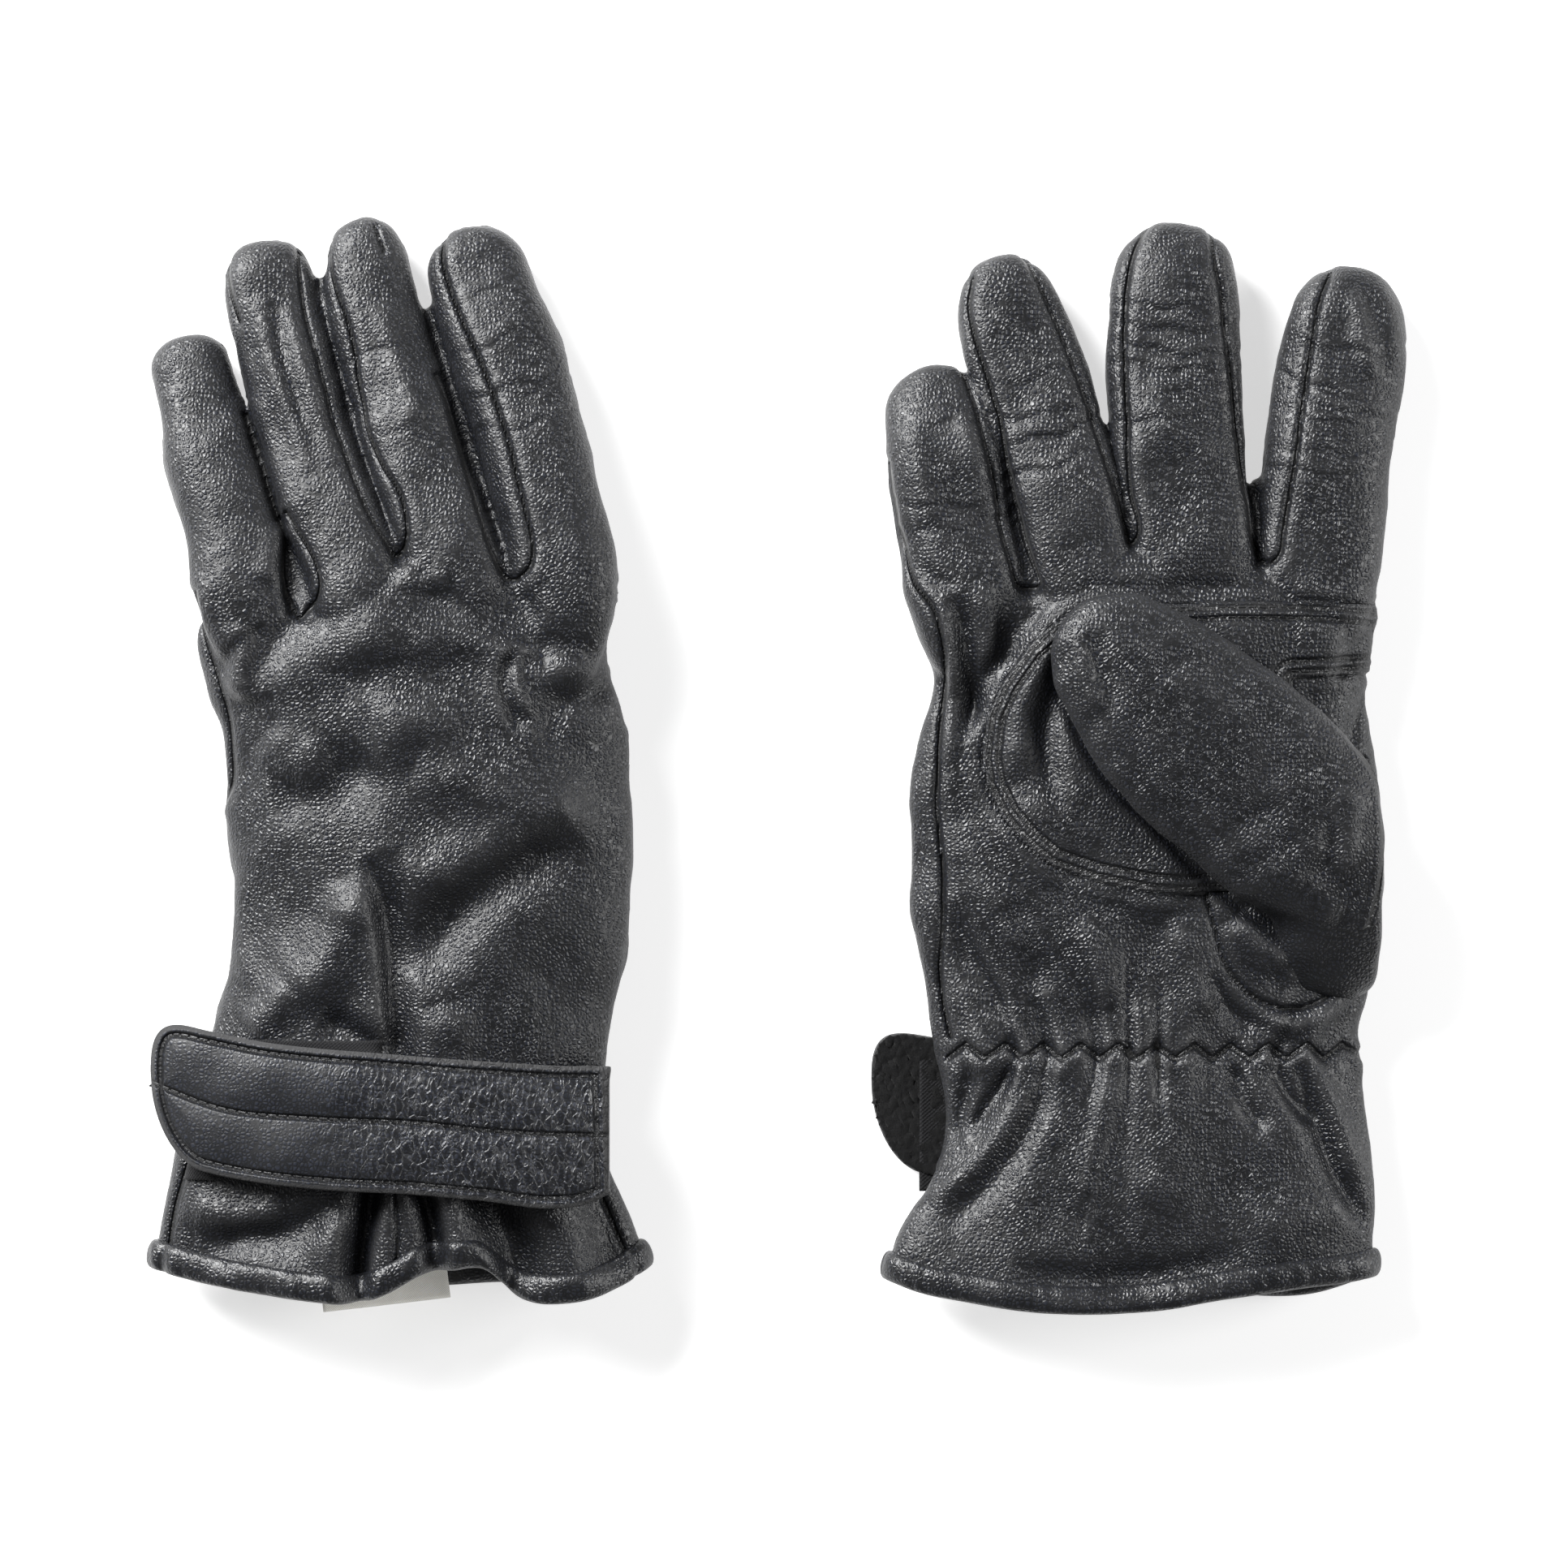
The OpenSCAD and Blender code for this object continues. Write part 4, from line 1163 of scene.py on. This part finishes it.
class GLOVES_OT_hands(bpy.types.Operator):
    """Hand, cuff and finger leather of both gloves, as one skin each, cut at its joints"""

    bl_idname = "gloves.hands"
    bl_label = "Hands, cuffs and fingers"

    def execute(self, context):
        step = context.scene.glove_look.skin_step
        parts = ("hand",) + FINGERS + ("cuff", "cuff_pleat")
        for side in SIDES:
            solids = [tube(FINGER_LINES[side][f], 90, 40, 2.5) for f in FINGERS]
            solids += [tube(line, 40, 16, 2.2) for line in WEBS[side]]
            solids.append(hand_solid(side))
            points, quads = fuse(side + "_skin", solids, step)
            middle = points[quads].mean(1)
            facing = normals_of(points, quads)[quads[:, 0], 2]
            quads = quads[middle[:, 1] > hem_y(side, middle[:, 0], facing)]
            middle = points[quads].mean(1)
            facing = normals_of(points, quads)[quads[:, 0], 2]
            label = face_label(side, middle)
            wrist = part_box(side + "_back_panel")[0][1] / MM
            cuff = (label == 0) & (middle[:, 1] < wrist)
            label[cuff] = parts.index("cuff")
            shift = TO_LEFT[0] if side == "right" else 0.0
            on_back = facing * (1 if side == "left" else -1) > 0.2
            pleat = np.abs(middle[:, 0] + shift - PLEAT_X) < PLEAT_HALF
            label[cuff & on_back & pleat] = parts.index("cuff_pleat")
            moved, normal, seam, row, run, wear = dress_skin(side, points, quads)
            for k, piece in enumerate(parts):
                obj = cut_out(side + "_" + piece + "_leather", moved, quads, normal,
                              label == k, seam=seam, row=row, run=run, wear=wear)
                paint(obj, "shell leather", "shell_leather")
                if piece not in FINGERS:
                    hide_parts(*(side + "_" + node for node in SHELL_NODES[piece]))
                    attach(obj, side + "_hand")
                    continue
                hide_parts(*(side + "_" + piece + part
                                   for part in ("_palm", "_back", "_fourchettes")))
                base, along, height = finger_base(side, piece)
                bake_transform(obj)
        return {"FINISHED"}


class GLOVES_OT_mouths(bpy.types.Operator):
    """Rolled hems, fleece linings and elastic bands of both gloves"""

    bl_idname = "gloves.mouths"
    bl_label = "Hems, linings and elastic"

    def execute(self, context):
        for side in SIDES:
            self.hem(side)
            self.lining(side)
            self.elastic(side)
        return {"FINISHED"}

    def mouth_share(self, side, count):
        """The share along the sleeve of the hem's middle line, all the way round."""
        across, up = squircle(count, 2.4)
        x = sleeve(side, 0.08, across, up)[:, 0]
        return sleeve_share(side, hem_y(side, x, up), across)

    def hem(self, side):
        """A squircle of leather carried round the mouth, puckered by a sine that leans
        round the roll."""
        count = 420
        share = self.mouth_share(side, count)
        line, normal, _ = sleeve_rings(side, share[None], count)
        inside_line, _, _ = sleeve_rings(side, share[None] + 0.02, count)
        line, normal = line[0], normal[0]
        out = unit(line - inside_line[0])
        normal = unit(normal - out * (normal * out).sum(1, keepdims=True))
        run = np.concatenate([[0], np.cumsum(np.linalg.norm(np.diff(line, axis=0), axis=1))])
        a, b = squircle(28, 2.3)
        uneven = (1.5 * np.sin(run * 0.21) + np.sin(run * 0.57))[:, None]
        pucker = 1 + 0.07 * np.sin(run[:, None] * 0.95 + 1.5 * a[None] + uneven)
        along = (HEM_REACH * a)[None] * np.ones((count, 1))
        high = HEM_HALF * b[None] * pucker + 0.35
        rings = line[:, None] + out[:, None] * along[..., None] + normal[:, None] * high[..., None]
        rings[..., 2] = np.maximum(rings[..., 2], 0.1)
        obj = loop_piece(side + "_hem_roll", rings)
        plain_leather(obj, wear=np.full(count * 28, 0.12))
        paint(obj, "hem leather", "hem_leather")
        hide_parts(side + "_hem_binding")
        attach(obj, side + "_hand")

    def lining(self, side):
        """The sleeve again, 2.3 mm inside the leather and 1.3 mm thick."""
        count = 160
        start = self.mouth_share(side, count)[None] + 0.006
        v = start + (0.62 - start) * np.linspace(0, 1, 80)[:, None] ** 1.2
        outer = sleeve_rings(side, v, count, 2.3)[0]
        inner = sleeve_rings(side, v, count, 3.6)[0]
        obj = loop_piece(side + "_fleece_lining", np.concatenate([outer, inner[::-1]]))
        paint(obj, "fleece", "fleece_lining")
        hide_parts(side + "_hand_lining")
        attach(obj, side + "_hand")

    def elastic(self, side):
        """A band inside the palm leather, under the zigzag: the part of the sleeve's
        rings that faces the palm."""
        count = 160
        middle = WRIST_Y + (TO_LEFT[1] if side == "left" else 0.0)
        across, _ = squircle(count, 2.4)
        v = np.stack([sleeve_share(side, middle + off, across) for off in np.linspace(-5, 5, 9)])
        band = sleeve_rings(side, v, count, 1.0)[0]
        on_palm = slice(14, 67) if side == "right" else slice(94, 147)
        obj = slab(side + "_wrist_elastic_band", band[::-1, on_palm], 0.9)
        paint(obj, "elastic", "elastic_band")
        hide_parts(side + "_wrist_elastic")
        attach(obj, side + "_hand")


class GLOVES_OT_straps(bpy.types.Operator):
    """Wrist straps of both gloves, with their sewn ends, pile and hook tape"""

    bl_idname = "gloves.straps"
    bl_label = "Straps"

    def execute(self, context):
        for side in SIDES:
            self.strap(side)
            self.base(side)
            self.pile(side)
            self.hooks(side)
        return {"FINISHED"}

    def plan(self, side, first, rows, columns, inset=0.0):
        """A grid of places on a strap, as on the left glove, from x first to its tip: its
        width shrinks as a squircle's does over the round end. Its height sinks towards
        both ends by a power of the distance, as a strap laid over a cuff does."""
        tip = STRAP_TIP[side] + inset
        t = np.linspace(0, 1, rows)
        x = first + (tip + 0.02 - first) * (1 - (1 - t) ** 1.5)
        top, low = (through(line, 200) for line in (STRAP_TOP, STRAP_LOW))
        high_y = np.interp(x, top[::-1, 0], top[::-1, 1]) - inset
        low_y = np.interp(x, low[::-1, 0], low[::-1, 1]) + inset
        ending = np.clip((tip + 14 - x) / 14, 0, 1)
        half = (high_y - low_y) / 2 * np.maximum(1 - ending ** 2.4, 0.0004) ** (1 / 2.4)
        centre = (high_y + low_y) / 2 + 5.5 * ending ** 2
        w = np.linspace(-1, 1, columns)
        y = centre[:, None] + half[:, None] * w[None]
        free = np.clip((-112 - x) / 48, 0, 1) ** 1.6 * (9.0 if side == "left" else 0.7)
        z = 37.7 - free - 5.6 * np.clip((x + 84) / 40, 0, 1) ** 1.4
        camber = 0.5 * np.cos(w * math.pi / 2)[None] * np.ones_like(y)
        return np.stack([x[:, None] + y * 0, y, z[:, None] + camber - 0.4], -1)

    def place(self, side, grid):
        """Puts a grid made for the left glove on its own glove."""
        if side == "left":
            return grid
        shift = np.array([-TO_LEFT[0], -TO_LEFT[1], 0.0])
        return (grid * [1, 1, -1]) + shift + [0, 0, PAIR_TOP]

    def turned(self, side, grid):
        """A grid with its columns in reverse on the right glove, where straps lie upside
        down, so that its top still faces out."""
        return grid if side == "left" else grid[:, ::-1]

    def strap(self, side):
        """The leather strap: two pillows either side of the middle stitches, with rows
        of stitches along its edge, worn and cracked where it bends near its sewn end."""
        rows, columns = 260, 90
        grid = self.plan(side, STRAP_ROOT, rows, columns)
        flat = grid.reshape(-1, 3)
        outline = np.concatenate([grid[::3, 0], grid[::-3, -1], grid[:1, 0]])
        edge, round_run, _, _ = to_path(flat[:, :2], outline[:, :2])
        middle_row, middle_run, _, _ = to_path(flat[:, :2], STRAP_STITCH, 60)
        border = np.abs(edge - HEM_MARGIN)
        row = np.minimum(border, middle_row)
        run = np.where(border < middle_row, round_run, middle_run)
        worn = ease((flat[:, 0] + 128) / 44)
        crease = np.sin((flat[:, 0] * 0.9 + flat[:, 1] * 0.35) * 1.25 + 2 * ripple(flat, 9.0, 21))
        lift = 0.55 * (1 - np.exp(-(row / 3.2) ** 2)) - 0.5 * np.exp(-(row / 0.7) ** 2)
        lift += (0.11 * crease + 0.16 * ripple(flat, 4.5, 22)) * worn
        lift += 0.3 * ripple(flat, 22.0, 23)
        lift -= 0.7 * np.exp(-(edge / 0.8) ** 2)
        flat[:, 2] += lift - 0.5
        grid = self.turned(side, self.place(side, flat.reshape(rows, columns, 3)))
        values = {"seam": np.full(len(flat), FAR), "row": row, "run": run, "wear": 0.25 * worn,
                  "crack": worn, "edge": edge}
        values = {key: self.turned(side, value.reshape(rows, columns))
                  for key, value in values.items()}
        obj = slab(side + "_strap_leather", grid, STRAP_THICK * 0.9, **values)
        paint(obj, "strap leather", "strap_leather")
        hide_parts(side + "_strap")
        bend = np.array([[STRAP_ROOT - 1.5, -90, 36], [STRAP_ROOT - 14, -90, 36]])
        bend = self.place(side, bend)
        tuple(bend[0] * MM)
        tuple(bend[1] * MM)
        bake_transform(obj)

    def base(self, side):
        """The doubled leather of the strap's sewn end: from under the strap it turns down
        to the cuff's side, as a straight strip carried along a smooth path."""
        path = [(-44.6, 28.4), (-46, 29.4), (-49, 30.6), (-54, 31.4)]
        if side == "left":
            path = [(-45.4, 18.5), (-44.1, 21.5), (-44.1, 25)] + path[1:]
        path = through(path, 40)
        y = np.linspace(-107.2, -76.6, 40)
        grid = np.stack(np.broadcast_arrays(path[:, :1], y[None], path[:, 1:]), -1)
        grid = self.turned(side, self.place(side, grid))
        obj = slab(side + "_strap_root", grid, 2.0)
        count = len(obj.data.vertices)
        plain_leather(obj, crack=np.zeros(count), edge=np.full(count, FAR))
        paint(obj, "strap leather", "strap_leather")
        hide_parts(side + "_strap_base")
        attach(obj, side + "_hand")

    def pile(self, side):
        """The fuzzy tape under the strap's free end: the strap's own places, lowered by
        its thickness and roughened by two ripples."""
        grid = self.plan(side, -99.0, 110, 60, 1.2 if side == "left" else 0.3)
        grid[..., 2] -= STRAP_THICK + 0.35
        flat = grid.reshape(-1, 3)
        flat[:, 2] -= 0.12 * ripple(flat, 3.4, 31) + 0.12 * ripple(flat, 1.4, 32) - 0.2
        grid = self.turned(side, self.place(side, grid))
        obj = slab(side + "_strap_fuzz", grid, 1.2)
        paint(obj, "strap pile", "pile_tape")
        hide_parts(side + "_strap_pile")
        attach(obj, side + "_strap")

    def hooks(self, side):
        """The woven hook tape on the back of the cuff: on the left glove a part of the
        sleeve's rings, on the right one a flat grid that rises at one end."""
        if side == "left":
            count = 160
            across, _ = squircle(count, 2.4)
            v = np.stack([sleeve_share(side, y, across) for y in np.linspace(-105, -69.4, 50)])
            grid = sleeve_rings(side, v, count, -0.7)[0][::-1, 42:70]
        else:
            x, y = np.meshgrid(np.linspace(87, 35, 60), np.linspace(-72.2, -109, 50))
            grid = np.stack([x, y, 3.5 + 0.5 * ease((40 - x) / 6)], -1)
            grid = grid[:, ::-1]
        obj = slab(side + "_hook_tape", grid, 1.3)
        paint(obj, "hook tape", "hook_tape")
        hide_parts(side + "_hook_patch")
        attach(obj, side + "_hand")


class GLOVES_OT_label(bpy.types.Operator):
    """Blank care label at the left glove's mouth"""

    bl_idname = "gloves.label"
    bl_label = "Care label"

    def execute(self, context):
        width, length = 32.6, 24.0
        tilt = math.radians(6.5)
        s, t = np.meshgrid(np.linspace(0, 1, 30), np.linspace(0, 1, 24))
        corner = np.array([-117.3, -139.3])
        along = np.array([math.cos(tilt), math.sin(tilt)])
        up = np.array([-along[1], along[0]])
        x = corner[0] + along[0] * s * width + up[0] * t * length
        y = corner[1] + along[1] * s * width + up[1] * t * length
        z = 13.0 + 5.0 * t + 0.5 * np.sin(3 * s + 2 * t) - 1.2 * (1 - t) ** 2 * s
        obj = slab("left_blank_label", np.stack([x, y, z], -1)[::-1], 0.35)
        paint(obj, "label tape", "label_tape")
        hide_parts("left_care_label")
        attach(obj, "left_hand")
        return {"FINISHED"}


class GLOVES_OT_thumbs(bpy.types.Operator):
    """Thumb leather of both gloves, with its root in the hand's edge"""

    bl_idname = "gloves.thumbs"
    bl_label = "Thumbs"

    def execute(self, context):
        step = context.scene.glove_look.skin_step
        points, quads = fuse("thumb_skin", [tube(THUMB_LINE, 90, 60, 2.6, 0.8)], step)
        over = points[:, 0] - HAND_SIDE_X + 3
        points[:, 0] -= np.where(over > 0, over - 3 * (1 - np.exp(-np.maximum(over, 0) / 3)), 0)
        normal = normals_of(points, quads)
        lift = fold_lift(points[:, :2], FOLDS["thumb"]) * ease((normal[:, 2] + 0.25) / 0.6)
        lift += 0.4 * ripple(points, 30.0, 13) + 0.22 * ripple(points, 11.0, 14)
        moved = points + normal * lift[:, None]
        moved[:, 2] = np.minimum(moved[:, 2], PAIR_TOP - 0.1)
        for side in SIDES:
            placed = moved.copy()
            faces = quads
            if side == "left":
                placed[:, :2] += TO_LEFT
                placed[:, 0] -= 4 * ease((placed[:, 0] + 75) / 30)
                placed[:, 2] = PAIR_TOP - placed[:, 2]
                high = placed[:, 2] - LEFT_THUMB_TOP
                placed[:, 2] -= np.where(high > 0, high - 2 * np.tanh(high / 2), 0)
                faces = quads[:, ::-1]
            normal = normals_of(placed, faces)
            far = np.full(len(placed), FAR)
            seam = np.where(moved[:, 2] > 31, seam_values(moved[:, :2], SEAMS["thumb"]), FAR)
            obj = cut_out(side + "_thumb_leather", placed, faces, normal,
                          np.ones(len(faces), bool), seam=seam, row=far, run=far * 0,
                          wear=rubbed_and_highlighted(placed, faces))
            paint(obj, "shell leather", "shell_leather")
            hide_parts(side + "_thumb_outer", side + "_thumb_inner",
                        side + "_thumb_gusset")
            fold = np.array([*THUMB_FOLD, PAIR_TOP])
            if side == "left":
                fold = np.array([fold[0] + TO_LEFT[0], fold[1] + TO_LEFT[1], 0.0])
            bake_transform(obj)
        return {"FINISHED"}


class GLOVES_OT_stage(bpy.types.Operator):
    """Pale table, soft lights and a camera straight above"""

    bl_idname = "gloves.stage"
    bl_label = "Stage"

    def execute(self, context):
        x, y = np.meshgrid(np.linspace(-1500, 1500, 3), np.linspace(-1500, 1500, 3))
        points = np.stack([x, y, np.zeros_like(x)], -1).reshape(-1, 3)
        floor = add_object("table", mesh_from("table", points, grid_faces(3, 3, closed=False)))
        p = Paint("table white")
        tone = p.cloud(120.0)
        base = p.mix(tone, (0.8, 0.8, 0.8, 1), (0.83, 0.83, 0.83, 1))
        p.finish(base, 0.85 + 0.1 * tone, tone * 0.02, Specular_IOR_Level=0.2,
                 Emission_Color=(1, 1, 1, 1), Emission_Strength=TABLE_GLOW)
        floor.data.materials.append(p.material)

        def lamp(name, place, size, power):
            """Adds a square lamp that shines at the middle of the table."""
            light = bpy.data.lights.new(name, "AREA")
            light.shape = "SQUARE"
            light.size = size
            light.energy = power
            obj = bpy.data.objects.new(name, light)
            obj.location = place
            way = -obj.location.normalized()
            obj.rotation_euler = way.to_track_quat("-Z", "Y").to_euler()
            context.scene.collection.objects.link(obj)

        lamp("window", (-1.0, 0.95, 0.85), 0.85, 64)
        lamp("side screen", (1.25, 0.1, 0.7), 0.6, 11)
        world = bpy.data.worlds.new("room")
        world.use_nodes = True
        tree = world.node_tree
        way = tree.nodes.new("ShaderNodeTexCoord").outputs["Generated"]
        part = tree.nodes.new("ShaderNodeSeparateXYZ")
        tree.links.new(way, part.inputs[0])
        walls = tree.nodes.new("ShaderNodeMapRange")
        tree.links.new(part.outputs[2], walls.inputs[0])
        for k, value in enumerate((0.0, 1.0, ROOM_WALLS, ROOM_CEILING)):
            walls.inputs[k + 1].default_value = value
        tree.links.new(walls.outputs[0], tree.nodes["Background"].inputs["Color"])
        context.scene.world = world
        context.scene.view_settings.view_transform = "Standard"

        camera = bpy.data.cameras.new("above")
        camera.sensor_width = 36.0
        reach = 1.6
        camera.lens = camera.sensor_width * reach / VIEW_WIDTH
        obj = bpy.data.objects.new("above", camera)
        obj.location = (0.0003, -0.0045, reach + 0.015)
        context.scene.collection.objects.link(obj)
        context.scene.camera = obj
        return {"FINISHED"}


class GLOVES_PT_panel(bpy.types.Panel):
    """Sizes, colours and the steps that build the gloves"""

    bl_label = "Riding gloves"
    bl_idname = "GLOVES_PT_panel"
    bl_space_type = "VIEW_3D"
    bl_region_type = "UI"
    bl_category = "Gloves"

    def draw(self, context):
        look = context.scene.glove_look
        for name in GloveLook.__annotations__:
            self.layout.prop(look, name)
        for step in STEPS:
            self.layout.operator(step.bl_idname)


STEPS = (GLOVES_OT_hands, GLOVES_OT_mouths, GLOVES_OT_thumbs, GLOVES_OT_straps,
         GLOVES_OT_label, GLOVES_OT_stage)
CLASSES = (GloveLook,) + STEPS + (GLOVES_PT_panel,)


def register():
    """Adds the classes and the scene's own settings."""
    for c in CLASSES:
        bpy.utils.register_class(c)
    bpy.types.Scene.glove_look = bpy.props.PointerProperty(type=GloveLook)


def unregister():
    """Takes them away again."""
    del bpy.types.Scene.glove_look
    for c in reversed(CLASSES):
        bpy.utils.unregister_class(c)


def main():
    """Registers the add-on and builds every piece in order."""
    register()
    for step in STEPS:
        group, name = step.bl_idname.split(".")
        getattr(getattr(bpy.ops, group), name)()


if __name__ == "__main__":
    main()
